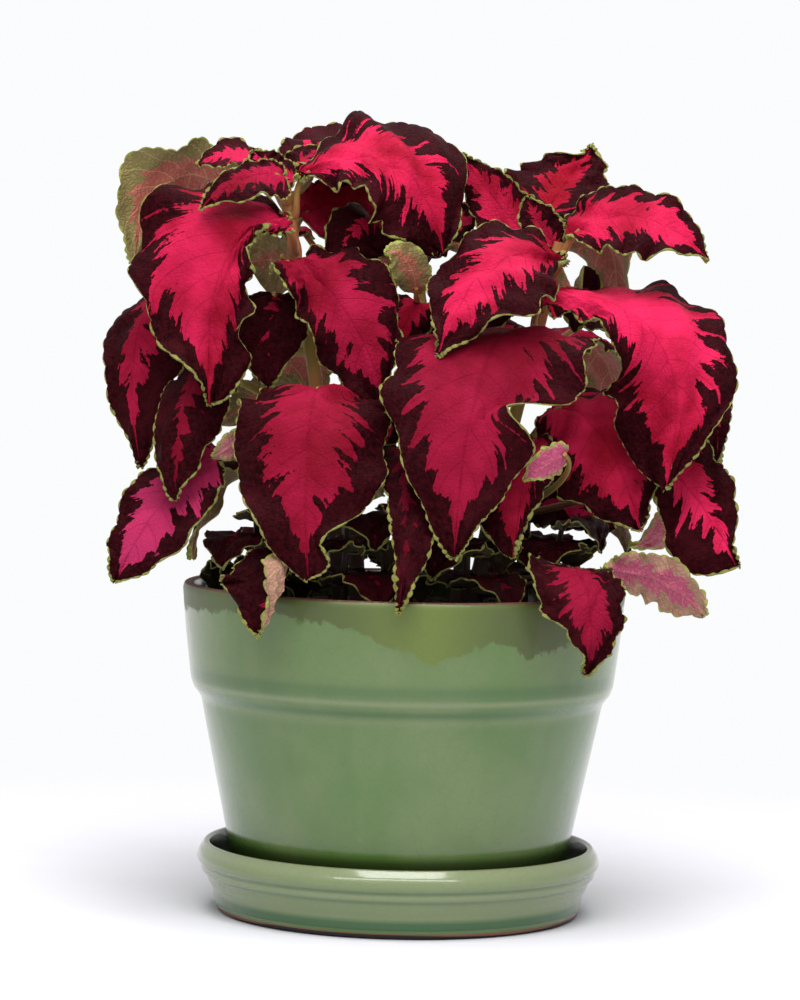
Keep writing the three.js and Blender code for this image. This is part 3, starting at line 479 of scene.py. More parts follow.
def pot_measures(radius, height, front):
    """Pooling above the step, pooling and painted shade under it and at the foot, a pale line on the
    step that is partly a painted highlight, wear on the rim, how many mm a point lies above the
    damp's lower edge, and painted shade low on the outside and on the inner wall."""
    outside = radius > 63 + 0.17 * height
    edge = np.interp(front, *np.array(DAMP_EDGE, float).T)
    # the foot term is painted shade in the gap over the saucer; the one under the step is partly painted
    # shade
    pooled_and_shade = 0.55 * peak(height, 98.0, 2.6) + 0.6 * peak(height, 89.2, 1.3) + 0.95 * peak(height, 14, 10)
    # the line on the step is partly a painted highlight
    pale = 0.75 * peak(height, 93.6, 1.1) + 0.3 * peak(height, 86.0, 1.6) + 0.15 * (height > 96)
    rim = np.clip((height - POT_RIM + 0.9) / 0.6, 0, 1)
    damp = np.where(outside, edge - (POT_RIM - height), -20)
    # painted shade: low on the outside, in the gap over the saucer, and on the whole inner wall
    inner = np.where(outside, np.clip((31.5 - height) / 3, 0, 1), height < POT_RIM - 1)
    bare_and_shade = peak(height, 6.3, 0.9) * (height < 7.5)
    front_green = peak(front, FRONT_GREEN_MIDDLE, FRONT_GREEN_SPREAD)
    first = np.stack([pooled_and_shade * outside, rim, bare_and_shade], -1)
    second = np.stack([damp, pale * outside, inner * 1.0], -1)
    return [first, second, np.stack([front_green, front_green, front_green], -1)]


pot_outline = resampled(rounded(POT_OUTLINE), 2.2)
pot_skin = turned(pot_outline, pot_measures, closed=True)
put_mesh("glazed_pot", "pot", [pot_skin], [glaze])
print("pot triangles:", triangles["pot"])

# %% [markdown]
# ## Saucer
# The saucer is thick and low, with a rolled rim, a bead under it, and a foot that was wiped bare of
# glaze before firing so that it would not stick to the kiln shelf. The rim could be a torus set on
# a bowl, but thrown clay has no such seam, so the roll is part of the same outline.

# %% Saucer
SAUCER_OUTLINE = [
    (4, 0, 0.5), (71.8, 0, 0.4), (73.8, 1.1, 0.5), (74.4, 3.2, 0.3), (75.2, 4.2, 0.8), (75.5, 9.0, 1.5),
    (77.2, 11.6, 1.6), (78.2, 14.6, 1.4), (79.9, 16.0, 0.8), (80.5, 17.6, 0.9), (80.3, 19.0, 0.5),
    (82.1, 20.6, 1.6), (82.0, 23.0, 1.2), (81.2, 25.3, 1.0), (78.9, 28.3, 0.8),
    (77.2, 28.0, 0.8), (76.2, 24, 2), (75.6, 18, 4), (72.8, 7.6, 2.2), (70.5, 6.1, 1.2), (4, 6.0, 0.5),
]


def saucer_measures(radius, height, front):
    """A bare foot whose lowest edge has a painted contact shadow, glaze gathered just above it and in
    the grooves with painted shade, a pale bead that is partly a painted highlight, a yellower rolled
    rim, and painted shade on the inner wall.
    """
    outside = (radius > 74.3 + height * 0.12) | (height > 28)
    # pooling at the foot and in the grooves, deepened with painted shade
    pooled_and_shade = band(height, 0.0, 8.6, 2.2) + 0.45 * peak(height, 15.2, 0.8)
    pooled_and_shade = pooled_and_shade + 0.55 * peak(height, 19.2, 0.7)
    # the bead's pale line at 17.2 mm is partly a painted highlight
    pale = 0.75 + 0.4 * peak(height, 17.2, 0.8) + 0.4 * peak(height, 26.4, 2.6)
    # painted shade on the saucer's inner wall
    inner = (~outside) & (height > 6.5)
    wiped = 1.3 + 1.5 * peak(front, -17, 20) + 0.9 * peak(front, 150, 40)
    wiped = wiped + 0.25 * np.sin(np.radians(7 * front))
    # values above 1, in the lowest 1.6 mm, are a painted contact shadow
    bare_and_shade = np.clip((wiped - height) / 0.4, 0, 1) + (height < 1.6)
    wear = 0.3 * np.clip((height - 27.6) / 0.5, 0, 1)
    first = np.stack([np.clip(pooled_and_shade, 0, 1) * outside, wear, bare_and_shade], -1)
    return [first, np.stack([np.full_like(height, -20), pale * outside, inner * 1.0], -1), None]


saucer_outline = resampled(rounded(SAUCER_OUTLINE), 2.0)
saucer_skin = turned(saucer_outline, saucer_measures, closed=False)
put_mesh("glazed_saucer", "saucer", [saucer_skin], [glaze])
print("saucer triangles:", triangles["saucer"])

# %% [markdown]
# ## Soil
# Potting soil is dark, fibrous and lumpy, and is heaped a little in the middle. It is a disc of
# rings whose heights come from smoothed random numbers in three sizes, with loose crumbs pressed
# into it. Real grains by the thousand would cost more than they show under the leaves.

# %% Soil
SOIL_TOP, SOIL_CROWN, SOIL_RADIUS, SOIL_SKIRT = 122.0, 3.0, 81.2, 96.0
SKIRT_SHARE = 0.955  # the skirt's foot is at this share of the radius
SOIL_RINGS, SOIL_AROUND = 72, 208
CRUMBS, CRUMB_SIZES, CRUMB_STRETCH, CRUMB_LIFT = 420, (0.5, 1.8), (0.6, 1.4), 0.2


def lumps(x, y, cell, seed):
    """Random heights 0 to 1 on a grid `cell` mm wide, blended with the S curve u^2 (3 - 2u)."""
    table = np.random.default_rng(seed).random((256, 256))
    column, row = np.floor(x / cell).astype(int), np.floor(y / cell).astype(int)
    u, v = x / cell - column, y / cell - row
    u, v = u * u * (3 - 2 * u), v * v * (3 - 2 * v)
    pick = lambda i, j: table[(column + i) % 256, (row + j) % 256]
    low = pick(0, 0) * (1 - u) + pick(1, 0) * u
    return low * (1 - v) + (pick(0, 1) * (1 - u) + pick(1, 1) * u) * v


def soil_height(x, y):
    """A dome, 3 mm higher in the middle than at the wall, and lumps of 14, 5 and 2 mm."""
    share = np.hypot(x, y) / SOIL_RADIUS
    rough = 1.6 * lumps(x, y, 14, 1) + 1.1 * lumps(x, y, 5, 2) + 0.7 * lumps(x, y, 2, 3) - 1.7
    return SOIL_TOP + SOIL_CROWN * (1 - share**2) + rough * (1 - share**12)


rings = np.linspace(SOIL_RADIUS, 1.0, SOIL_RINGS)[:, None]
around = np.arange(SOIL_AROUND)[None] / SOIL_AROUND * TAU
soil_x, soil_y = rings * np.cos(around), rings * np.sin(around)
top = np.stack([soil_x, soil_y, soil_height(soil_x, soil_y)], -1)
edge_x, edge_y = soil_x[:1] * SKIRT_SHARE, soil_y[:1] * SKIRT_SHARE
skirt = np.stack([edge_x, edge_y, np.full_like(edge_x, SOIL_SKIRT)], -1)
soil_points = np.concatenate([skirt, top]).reshape(-1, 3)

draw = np.random.default_rng(7)
golden = (1 + 5**0.5) / 2
flat = np.array([(-1, golden, 0), (1, golden, 0), (-1, -golden, 0), (1, -golden, 0)])
ball = unit(np.concatenate([np.roll(flat, k, axis=1) for k in range(3)]))  # an icosahedron
ball_faces = np.array([
    (0, 11, 5), (0, 5, 1), (0, 1, 7), (0, 7, 10), (0, 10, 11), (1, 5, 9), (5, 11, 4), (11, 10, 2),
    (10, 7, 6), (7, 1, 8), (3, 9, 4), (3, 4, 2), (3, 2, 6), (3, 6, 8), (3, 8, 9), (4, 9, 5), (2, 4, 11),
    (6, 2, 10), (8, 6, 7), (9, 8, 1)])
spread = np.sqrt(draw.random(CRUMBS)) * (SOIL_RADIUS - 4)
bearing = draw.random(CRUMBS) * TAU
crumb_x, crumb_y = spread * np.cos(bearing), spread * np.sin(bearing)
crumb_centre = np.stack([crumb_x, crumb_y, soil_height(crumb_x, crumb_y) + CRUMB_LIFT], -1)
crumb_size = draw.uniform(*CRUMB_SIZES, (CRUMBS, 1, 1)) * draw.uniform(*CRUMB_STRETCH, (CRUMBS, 12, 3))
crumb_points = (crumb_centre[:, None] + ball * crumb_size * (1, 1, 0.6)).reshape(-1, 3)
crumb_faces = (ball_faces[None] + 12 * np.arange(CRUMBS)[:, None, None]).reshape(-1, 3)

soil = Finish("potting soil", Roughness=0.95, Specular_IOR_Level=0.2)
soil_place = soil.place()
fibre = soil.noise(soil.scaled(soil_place, 300, 900, 500), 1.0, 4, 0.7)
peat = soil.step(soil.noise(soil_place, 260, 3, 0.6), 0.55, 0.7)
earth = soil.mix(fibre, (20, 13, 10), (58, 41, 30))
soil.give(Base_Color=soil.mix(soil.times(peat, 0.5), earth, (74, 52, 36)))
soil.relief(fibre, 0.001)
soil_skins = [skin(soil_points, capped(SOIL_RINGS + 1, SOIL_AROUND)), skin(crumb_points, [crumb_faces])]
put_mesh("potting_soil", "soil", soil_skins, [soil])
print("soil triangles:", triangles["soil"])

# %% [markdown]
# ## How a leaf is described
# A leaf blade is a sheet round its midrib. The midrib is a Bezier curve with four points; a
# direction across it says which way the right half faces, at the base and at the tip; half widths
# are given at 20, 50 and 80 % of the length for each side; and each half has a fold and a curl.
# These are the same measures that the imported solids were made from, in mm and degrees, so each
# skin lies in its solid's place. A habit says how the blade is coloured: how far the crimson heart
# reaches across a half blade; how much the heart leans to lilac, above 0; below 0, how far painted
# shade darkens it to deep wine, for leaves that hang low and under others; and how pale and pink
# the underside is, with painted shade that darkens it below 0. One leaf could be modelled and
# copied, but no two on the plant hang alike, so each has its own row.

# %% Leaf measures
ROUND, POINT = 0.2, 0.72  # shares of the length where the base is round and the tip begins
ELLIPSE, LEAST = 0.6, 0.3  # how round the tip is; no width falls below that share of the least one
SHIFT, SHIFT_END, SHIFT_POWER = 0.13, 0.85, 0.7  # how far the margin lags behind the midrib
LAG = 1.3  # radians between the waves of the two halves
THICKNESS, TOOTH, LIP = 0.5, 1.3, 0.55  # mm: the blade, a tooth's depth, and its upturned edge

FLAT, SOFT, OPEN = (0, 0, 0, 0), (0, -10, 0, -10), (-5, -15, -5, -15)  # usual folds and curls
HUNG, FOLDED, BACK_BEND = (-5, -20, -5, -20), (-10, -20, -10, -20), (-8, -25, -8, -25)
YOUNG_BEND, SHOOT_BEND = (5, -20, 5, -20), (8, -20, 8, -20)
BACK_CYCLES = 2.5
YOUNG_WAVE = (0.4, 2, 0)
# The shoots' habit holds painted shade: deep wine on top and dark underneath.
BACK_HABIT, TIP_HABIT, SHOOT_HABIT = (0.62, 0.1, 0.25), (0.3, 0.1, 0.1), (-0.05, -0.9, -0.8)

# Four points of the midrib; azimuth and lift of the direction across it, at base and tip; half
# widths; fold and curl of the left and the right half; height, cycles and phase of the waves.
SHAPE = ("rib", "across", "left", "right", "bend", "wave")

# Name, stem, height of its node, then the shape and the habit.
# A habit's second and third numbers below 0 are painted shade.
FRONT_LEAVES = [
    ("left_big", "left", 268, ((-50, -26, 279), (-66, -38, 286), (-84, -50, 262), (-78, -54, 207)),
     (-40, -32, -12, 0), (17, 42, 28), (5, 6, 18), (5, -15, -15, -30), (2.4, 2.5, 0), (0.66, -0.3, 0.2)),
    ("left_small", "left", 288, ((-52, -20, 298), (-61, -30, 300), (-73, -35, 296), (-84, -37, 283)),
     (-90, -50, -60, -40), (6, 7, 6), (11, 12, 8), FLAT, (0.6, 2, 0), (0.45, -0.55, 0.2)),
    ("left_outer", "left", 278, ((-66, 26, 290), (-86, 36, 305), (-115, 38, 306), (-115, 36, 260)),
     (-90, 50, -180, 10), (14, 21, 14), (13, 19, 14), FLAT, (2.0, 3, 0), (0.5, 0.1, 0.0)),
    ("left_behind", "left", 228, ((-68, 0, 240), (-96, -5, 264), (-122, -12, 250), (-107, -22, 180)),
     (-80, -30, -10, 0), (18, 24, 16), (18, 22, 20), FOLDED, (2.2, 3, 0), (0.32, -0.55, 0.1)),
    ("left_dark", "left", 205, ((-76, -24, 222), (-84, -36, 228), (-92, -50, 205), (-91, -53, 169)),
     (-60, -20, 0, 0), (10, 13, 12), (12, 17, 13), FOLDED, (1, 2, 0), (0.2, -0.8, 0.1)),
    ("left_lilac", "left", 165, ((-74, -28, 186), (-88, -36, 180), (-103, -46, 162), (-114, -52, 136)),
     (-30, -30, -25, -25), (11, 15, 13), (7, 21, 20), (0, -10, 0, 35), (1.4, 2, 0), (0.62, 0.72, 0.5)),
    ("left_mauve", "left", 184, ((-50, -36, 188), (-58, -44, 192), (-66, -46, 194), (-77, -46, 186)),
     (-90, 70, -90, 70), (7, 7, 6), (6, 8, 6), FLAT, (1, 2, 0), (0.6, 0.6, 0.8)),
    ("left_mid", "left", 250, ((-52, -24, 264), (-42, -40, 266), (-19, -45, 244), (-9, -40, 209)),
     (0, 6, 0, 12), (8, 13, 20), (8, 23, 17), HUNG, (2.2, 3, 0.3), (0.64, -0.55, 0.2)),
    ("left_low", "left", 190, ((-36, -44, 213), (-35, -68, 222), (-42, -88, 190), (-37, -91, 142)),
     (0, 0, 0, 0), (26, 30, 26), (27, 30, 30), HUNG, (2.8, 2.5, 0), (0.48, -0.62, 0.3)),
    ("low_red", "centre", 170, ((-4, -50, 192), (-1, -72, 192), (2, -94, 165), (-2, -99, 130)),
     (0, 0, 0, 0), (14, 8, 4), (14, 14, 9), FOLDED, (1, 2, 0), (0.1, -1.0, 0.2)),
    ("top_big", "left", 282, ((-46, -16, 298), (-20, -24, 314), (6, -24, 306), (12, -18, 269)),
     (90, 45, 30, 25), (8, 18, 26), (16, 40, 32), (-5, -15, -5, -20), (2.2, 2.5, 0), (0.48, 0.0, 0.2)),
    ("top_pink", "left", 286, ((-60, 6, 300), (-68, 9, 308), (-78, 10, 309), (-88, 9, 302)),
     (-90, -30, -60, -30), (8, 11, 9), (8, 10, 8), FLAT, (1, 2, 0), (0.45, -0.35, 0.2)),
    ("top_dark", "left", 290, ((-41, 8, 301), (-40, 22, 312), (-26, 38, 316), (0, 54, 306)),
     (120, 25, 90, 25), (18, 20, 16), (12, 20, 18), SOFT, (1.5, 3, 0), (0.3, 0.0, 0.1)),
    ("inner_red", "left", 270, ((-46, 4, 282), (-34, 12, 291), (-18, 18, 291), (-2, 20, 278)),
     (90, 50, 90, 40), (18, 14, 10), (10, 12, 10), FLAT, (1, 2, 0), (0.85, -0.3, 0.2)),
    ("inner_dark", "centre", 255, ((-10, -4, 278), (-18, -10, 286), (-28, -16, 276), (-32, -18, 258)),
     (0, -30, 0, 0), (10, 12, 8), (14, 16, 12), (0, -20, 0, -20), (1, 3, 0), (0.12, -0.2, -0.4)),
    ("inner_mauve", "left", 242, ((-54, -18, 250), (-55, -24, 252), (-57, -27, 238), (-56, -26, 213)),
     (-20, 0, 0, 0), (12, 14, 12), (12, 16, 12), (0, -20, 0, -20), (1, 2, 0), (-0.1, -0.6, -0.3)),
    ("olive", "centre", 248, ((2, -24, 252), (2, -35, 260), (-3, -42, 271), (-11, -43, 268)),
     (0, 0, 0, 80), (5, 7, 5), (5, 7, 5), FLAT, (0.5, 2, 0), (0.4, 0.0, 0.0)),
    ("centre_big", "centre", 220, ((44, -28, 236), (36, -62, 252), (20, -92, 214), (19, -92, 151)),
     (0, 3, 0, 0), (41, 40, 28), (31, 36, 25), OPEN, (2.8, 3, 0), (0.64, -0.7, 0.3)),
    ("centre_back", "centre", 226, ((12, -10, 239), (8, -19, 254), (-1, -24, 253), (-6, -23, 224)),
     (0, 0, 0, 0), (10, 12, 9), (12, 12, 9), OPEN, (1, 3, 0), (0.5, 0.0, 0.2)),
    ("right_front", "right", 262, ((60, -26, 266), (42, -46, 277), (20, -60, 262), (11, -66, 228)),
     (-90, -45, -20, -5), (12, 27, 17), (9, 26, 22), OPEN, (1.8, 2.5, 0), (0.5, -0.2, 0.2)),
    ("right_young", "right", 268, ((53, -10, 271), (44, 0, 277), (30, 8, 294), (19, 10, 309)),
     (180, -45, 180, -45), (9, 11, 8), (9, 12, 8), FLAT, (0.8, 2, 0), (0.62, 0.05, 0.2)),
    ("right_back", "right", 260, ((54, 4, 286), (60, 12, 296), (67, 22, 305), (73, 30, 314)),
     (180, 0, 170, 10), (11, 15, 12), (17, 23, 7), SOFT, (1.2, 2, 0.4), (0.3, 0.0, 0.2)),
    ("right_top", "right", 268, ((63, -22, 276), (75, -28, 289), (100, -32, 289), (117, -34, 268)),
     (90, 45, 80, 50), (8, 18, 15), (15, 17, 13), SOFT, (1.6, 2.5, 0), (0.6, 0.0, 0.0)),
    ("right_big", "right", 234, ((54, -28, 254), (84, -44, 255), (116, -58, 241), (102, -53, 178)),
     (40, 12, 5, 0), (9, 13, 33), (15, 34, 26), (-45, 0, -5, -15), (2.4, 2.5, 0), (0.7, -0.05, 0.2)),
    ("right_edge", "right", 232, ((70, 8, 242), (97, 8, 260), (129, 0, 249), (124, -16, 186)),
     (90, 30, 20, 0), (14, 20, 16), (12, 18, 14), HUNG, (1.5, 3, 0), (0.1, 0.0, 0.2)),
    ("right_outer", "right", 175, ((98, -20, 190), (107, -30, 184), (119, -38, 171), (132, -42, 147)),
     (15, 30, 15, 25), (8, 12, 24), (14, 18, 10), SOFT, (1.8, 3, 0), (0.42, 0.05, 0.7)),
    ("right_mid", "right", 190, ((58, -12, 207), (70, -28, 212), (86, -36, 190), (93, -38, 160)),
     (20, 35, 5, 5), (17, 26, 24), (20, 24, 16), HUNG, (2.2, 2.5, 0), (0.6, -0.3, 0.4)),
    ("right_low", "centre", 172, ((50, -44, 196), (48, -58, 196), (44, -71, 176), (42, -75, 151)),
     (0, 0, 0, 0), (14, 19, 18), (9, 10, 5), HUNG, (1, 2, 0), (0.5, -0.45, 0.4)),
    ("right_magenta", "right", 166, ((62, -72, 190), (60, -77, 192), (52, -79, 187), (45, -75, 181)),
     (-90, 80, -90, 80), (4, 6, 4), (4, 6, 4), FLAT, (0.5, 2, 0), (0.8, 1.0, 0.4)),
    ("right_pale", "right", 165, ((113, -8, 171), (114, -14, 165), (106, -20, 156), (90, -24, 153)),
     (-90, 70, -90, 70), (8, 8, 5), (9, 12, 7), FLAT, (0.5, 2, 0), (0.7, 0.8, 0.8)),
    ("rim_left", "left", 140, ((-46, -62, 150), (-44, -84, 150), (-46, -96, 138), (-56, -90, 119)),
     (-30, 0, -25, 0), (14, 24, 25), (12, 12, 7), (0, 0, 60, 100), (0.6, 2, 0), (0.1, -0.6, 0.8)),
    ("rim_right", "right", 132, ((66, -58, 146), (68, -78, 147), (76, -90, 134), (71, -78, 106)),
     (-15, 0, 10, 0), (16, 22, 11), (12, 14, 12), (0, 40, -5, -10), (0.8, 2, 0), (0.5, -0.75, 0.9)),
    ("rim_outer", "right", 139, ((78, -50, 145), (90, -58, 147), (106, -62, 143), (118, -62, 129)),
     (90, -70, 90, -60), (3, 9, 10), (6, 10, 12), FLAT, (0.6, 2, 0), (0.5, 0.9, 0.8)),
]
NO_TUCK = (0, 0, 1)
TUCKS = {  # where a half is drawn in: place, share, spread
    "left_behind": ("tuck_left", (0.6, 0.3, 0.08)),
    "left_mid": ("tuck_right", (0.3, 0.3, 0.08)),
    "left_low": ("tuck_right", (0.9, 0.62, 0.07)),
    "centre_big": ("tuck_right", (0.68, 0.52, 0.055)),
}

# The youngest leaves, each one piece with its stem: stem, then the shape.
TIP_LEAVES = [
    ("left", ((-48, -8, 297), (-57, -9, 300), (-63, -8, 304), (-65, -7, 308)),
     (-90, -50, -110, -60), (7, 8, 6), (7, 8, 6), FLAT, (0.6, 2, 0)),
    ("left", ((-48, -6, 299), (-47, -2, 304), (-42, 2, 308), (-34, 4, 310)),
     (90, 40, 90, 40), (7, 8, 6), (7, 8, 6), FLAT, (0.6, 2, 0)),
    ("right", ((58, -15, 272), (53, -14, 277), (49, -12, 284), (45, -10, 292)),
     (180, -40, 180, -40), (6, 8, 6), (6, 8, 6), (10, 0, 10, 0), (0.4, 2, 0)),
    ("left", ((-46, -11, 260), (-52, -2, 265), (-58, 4, 266), (-68, 8, 262)),
     (-90, 70, -90, 70), (5, 15, 15), (5, 11, 9), SOFT, (0.8, 2, 0)),
    ("left", ((-35, -10, 200), (-48, 2, 211), (-64, 4, 215), (-81, 0, 192)),
     (-90, 65, -60, 35), (5, 13, 12), (5, 12, 12), SOFT, (1, 2, 0.2)),
    ("centre", ((2, -4, 266), (8, 4, 276), (17, 14, 283), (29, 20, 284)),
     (-60, 60, -60, 60), (9, 14, 10), (6, 12, 9), SOFT, (0.6, 2, 0)),
    ("centre", ((5, -5, 231), (16, 1, 240), (29, 5, 247), (44, 6, 247)),
     (-90, 60, -90, 60), (4, 9, 9), (4, 9, 8), SOFT, (0.8, 2, 0.3)),
    ("centre", ((6, -7, 209), (-2, 0, 217), (-8, 2, 210), (-9, 0, 186)),
     (0, 20, 0, 0), (5, 9, 8), (5, 10, 9), SOFT, (0.8, 2, 0.1)),
    ("right", ((55, -14, 248), (65, -11, 260), (70, -9, 260), (66, -10, 238)),
     (20, 0, 0, 0), (4, 9, 9), (5, 10, 9), SOFT, (0.8, 2, 0.4)),
    ("right", ((33, -8, 160), (44, 6, 169), (62, 13, 172), (86, 11, 158)),
     (-90, 60, -90, 60), (2, 8, 12), (2, 6, 9), SOFT, (1, 2, 0.2)),
]
# Stem, base, azimuth, reach, rise, drop, half width.
ARCHED_TIPS = [
    ("centre", (2, -4, 267), 40, 26, 9, 2, 9),
    ("centre", (2, -4, 267), 95, 22, 9, 2, 8),
    ("back_left", (-32, 38, 289), 10, 26, 10, 2, 9),
    ("back_left", (-32, 38, 289), 120, 22, 10, 2, 8),
    ("back_right", (34, 42, 283), 150, 26, 10, 2, 9),
    ("back_right", (34, 42, 283), 330, 24, 10, 2, 9),
]
# Name, stem, height of its node, the same six measures, height and phase of the wave.
BACK_LEAVES = [
    ("back_top_1", "back_left", 262, (-44, 44, 276), 158, 52, 16, 60, 23, 1.6, 0),
    ("back_top_2", "back_left", 282, (-24, 52, 292), 82, 54, 14, 64, 26, 1.6, 0.3),
    ("back_top_3", "back_right", 276, (46, 48, 284), 35, 56, 14, 62, 25, 1.6, 0.6),
    ("back_mid_1", "back_left", 228, (-48, 36, 240), 178, 52, 10, 58, 24, 1.5, 0.2),
    ("back_mid_2", "back_left", 222, (-36, 54, 234), 112, 50, 10, 56, 25, 1.5, 0.7),
    ("back_mid_3", "back_right", 228, (24, 56, 240), 88, 50, 12, 60, 25, 1.5, 0.5),
    ("back_mid_4", "back_right", 220, (52, 46, 234), 38, 50, 10, 56, 24, 1.5, 0.1),
    ("back_low_1", "back_left", 172, (-44, 38, 184), 160, 48, 8, 46, 21, 1.3, 0.4),
    ("back_low_2", "back_left", 166, (-20, 54, 178), 105, 46, 8, 44, 22, 1.3, 0.9),
    ("back_low_3", "back_right", 172, (30, 54, 184), 70, 48, 8, 46, 22, 1.3, 0.2),
    ("back_low_4", "back_right", 166, (50, 32, 178), 15, 46, 8, 42, 20, 1.3, 0.6),
]

STEMS = {  # thickness, four points of the curve
    "left": (1.0, [[-24, -8, 92], [-26, -8, 170], [-42, -12, 235], [-52, -11, 296]]),
    "right": (1.0, [[26, -8, 92], [28, -6, 160], [48, -12, 215], [59, -16, 274]]),
    "centre": (0.9, [[2, -14, 92], [2, -8, 150], [10, -6, 210], [2, -4, 268]]),
    "back_left": (1.0, [[-18, 24, 92], [-20, 28, 170], [-28, 36, 230], [-32, 38, 290]]),
    "back_right": (1.0, [[20, 24, 92], [24, 28, 160], [32, 38, 225], [34, 42, 284]]),
}
SHOOTS = {  # foot, top, length of a leaf, turn
    "left": ([-58, -18], [-60, -26, 160], 28, 140),
    "front_left": ([-24, -46], [-23, -50, 160], 28, 130),
    "front_right": ([24, -46], [25, -52, 160], 28, 140),
    "right": ([58, -6], [63, -12, 158], 27, 156),
    "back_right": ([50, 38], [51, 38, 158], 25, 40),
    "back": ([2, 56], [2, 56, 158], 26, 100),
    "back_left": ([-50, 38], [-51, 38, 158], 25, 140),
}

print("leaves described:", sum(map(len, (FRONT_LEAVES, BACK_LEAVES, TIP_LEAVES, ARCHED_TIPS))))

# %% [markdown]
# ## Curves
# Stems, petioles and midribs are cubic Bezier curves, as in any drawing program. Blender's own
# curve objects would draw them too, but a leaf has to start where its stem's curve passes, so the
# functions give points and directions for a whole array of places along a curve at once.

# %% Curves and limbs
STALK, UPPER, UNDER = 0, 1, 2  # material slots of every plant piece


def bezier(points, t):
    """(1-t)^3 p0 + 3(1-t)^2 t p1 + 3(1-t) t^2 p2 + t^3 p3, for an array of t."""
    p = np.asarray(points, float)
    t = np.asarray(t, float)[..., None]
    return (1 - t) ** 3 * p[0] + 3 * (1 - t) ** 2 * t * p[1] + 3 * (1 - t) * t**2 * p[2] + t**3 * p[3]


def heading(points, t):
    """The curve's direction at t: its derivative, made one long."""
    p = np.asarray(points, float)
    t = np.asarray(t, float)[..., None]
    legs = (1 - t) ** 2 * (p[1] - p[0]) + 2 * (1 - t) * t * (p[2] - p[1]) + t**2 * (p[3] - p[2])
    return unit(legs)


def curve_length(points):
    """Sum of 200 straight steps along the curve."""
    return np.linalg.norm(np.diff(bezier(points, np.linspace(0, 1, 201)), axis=0), axis=1).sum()


def at_height(points, height):
    """Where along a rising curve it passes a height, read off a table of 400 steps."""
    t = np.linspace(0, 1, 401)
    return float(np.interp(height, bezier(points, t)[:, 2], t))


def square_section(angle):
    """Radius of a square with rounded corners: (cos^4 + sin^4)^(-1/4)."""
    return (np.cos(angle) ** 4 + np.sin(angle) ** 4) ** -0.25


def limb(curve, radii, side, count, section=np.ones_like):
    """A closed tube: point = curve(t) + radius(t) section(a) (cos a X + sin a Y), where X is `side`
    made square to the curve and Y is square to both."""
    t = np.linspace(0, 1, len(radii))
    centre, along = bezier(curve, t), heading(curve, t)
    x = unit(side - (along @ side)[:, None] * along)
    y = np.cross(along, x)
    angle = np.arange(count) / count * TAU
    reach = radii[:, None] * section(angle)
    ring = np.cos(angle)[None, :, None] * x[:, None] + np.sin(angle)[None, :, None] * y[:, None]
    points = (centre[:, None] + reach[..., None] * ring).reshape(-1, 3)
    return skin(points, capped(len(t), count), STALK)


print("left stem is", round(curve_length(STEMS["left"][1])), "mm long")

# %% [markdown]
# ## Leaf blades
# A coleus blade is soft and quilted: the veins lie in furrows on top and stand out below, and the
# skin swells between them. The margin is cut into rounded teeth and ripples a little. All of this
# is a height above the sheet, so it is worked out as a formula of two numbers: the share w of the
# length, and v from -1 at the left margin to 1 at the right one. Top and underside are two grids
# with the same numbering, joined round the margin, so the blade is a closed sheet half a
# millimetre thick. Sculpting or a displacement map would be slower to repeat nearly a hundred times.

# %% Blade surface
ROWS_PER_MM, FEWEST_ROWS, MOST_ROWS = 2.1, 56, 200
COLUMNS_PER_MM, FEWEST_COLUMNS, MOST_COLUMNS = 0.42, 5, 13  # in each half
TOOTH_PITCH, VEIN_PITCH = 3.8, 22  # mm of blade for each tooth and each side vein, at the least
FRILL, LOBE = 0.016, 0.045  # the margin's waves and broad lobes, as shares of length and width
STRAIGHT = 1e-5  # the least curl, in radians for each mm
QUILT, SAG, FURROW, MIDRIB, SIDE_RIB = 1.3, 0.55, 0.5, 0.9, 0.28  # mm on a full grown blade


def half_width(w, widths, tuck):
    """A parabola through the widths at 0.2, 0.5 and 0.8, times a quarter circle at the base and a
    mix of ellipse and straight line at the tip. A tuck (place, share, spread) takes a share away:
    1 - share exp(-((w - place) / spread)^2)."""
    near, middle, far = widths
    x = (w - 0.5) / 0.3
    through = middle + x * (far - near) / 2 + x**2 * ((near + far) / 2 - middle)
    base = np.sqrt(1 - (1 - np.minimum(w / ROUND, 1)) ** 2)
    end = np.clip((w - POINT) / (1 - POINT), 0, 1)
    tip = ELLIPSE * np.sqrt(1 - end**2) + (1 - ELLIPSE) * (1 - end)
    place, share, spread = tuck
    left = 1 - share * peak(w, place, spread)
    return np.maximum(through, LEAST * min(widths)) * base * tip * left


def margin_width(leaf, w, v):
    """The half width at w of the half that v lies in."""
    halves = [half_width(w, leaf[half], leaf.get("tuck_" + half, NO_TUCK)) for half in ("left", "right")]
    return np.where(v < 0, *halves)


def row_shares(count):
    """Shares of the length for the rows. Round the base and the tip they follow an arc, so that
    the steps along the margin are alike."""
    base, middle, tip = ROUND * math.pi / 2, POINT - ROUND, (1 - POINT) * math.pi / 2
    run = np.linspace(0.004, 0.997, count) * (base + middle + tip)
    start = ROUND * (1 - np.cos(np.minimum(run, base) / ROUND))
    end = (1 - POINT) * (np.sin(np.maximum(run - base - middle, 0) / (1 - POINT)))
    return start + np.clip(run - base, 0, middle) + end


def column_shares(count):
    """From -1 to 1, closer together at the midrib and at both margins: x - 0.11 sin(2 pi x)."""
    x = np.linspace(-1, 1, count)
    return x - 0.11 * np.sin(TAU * x)


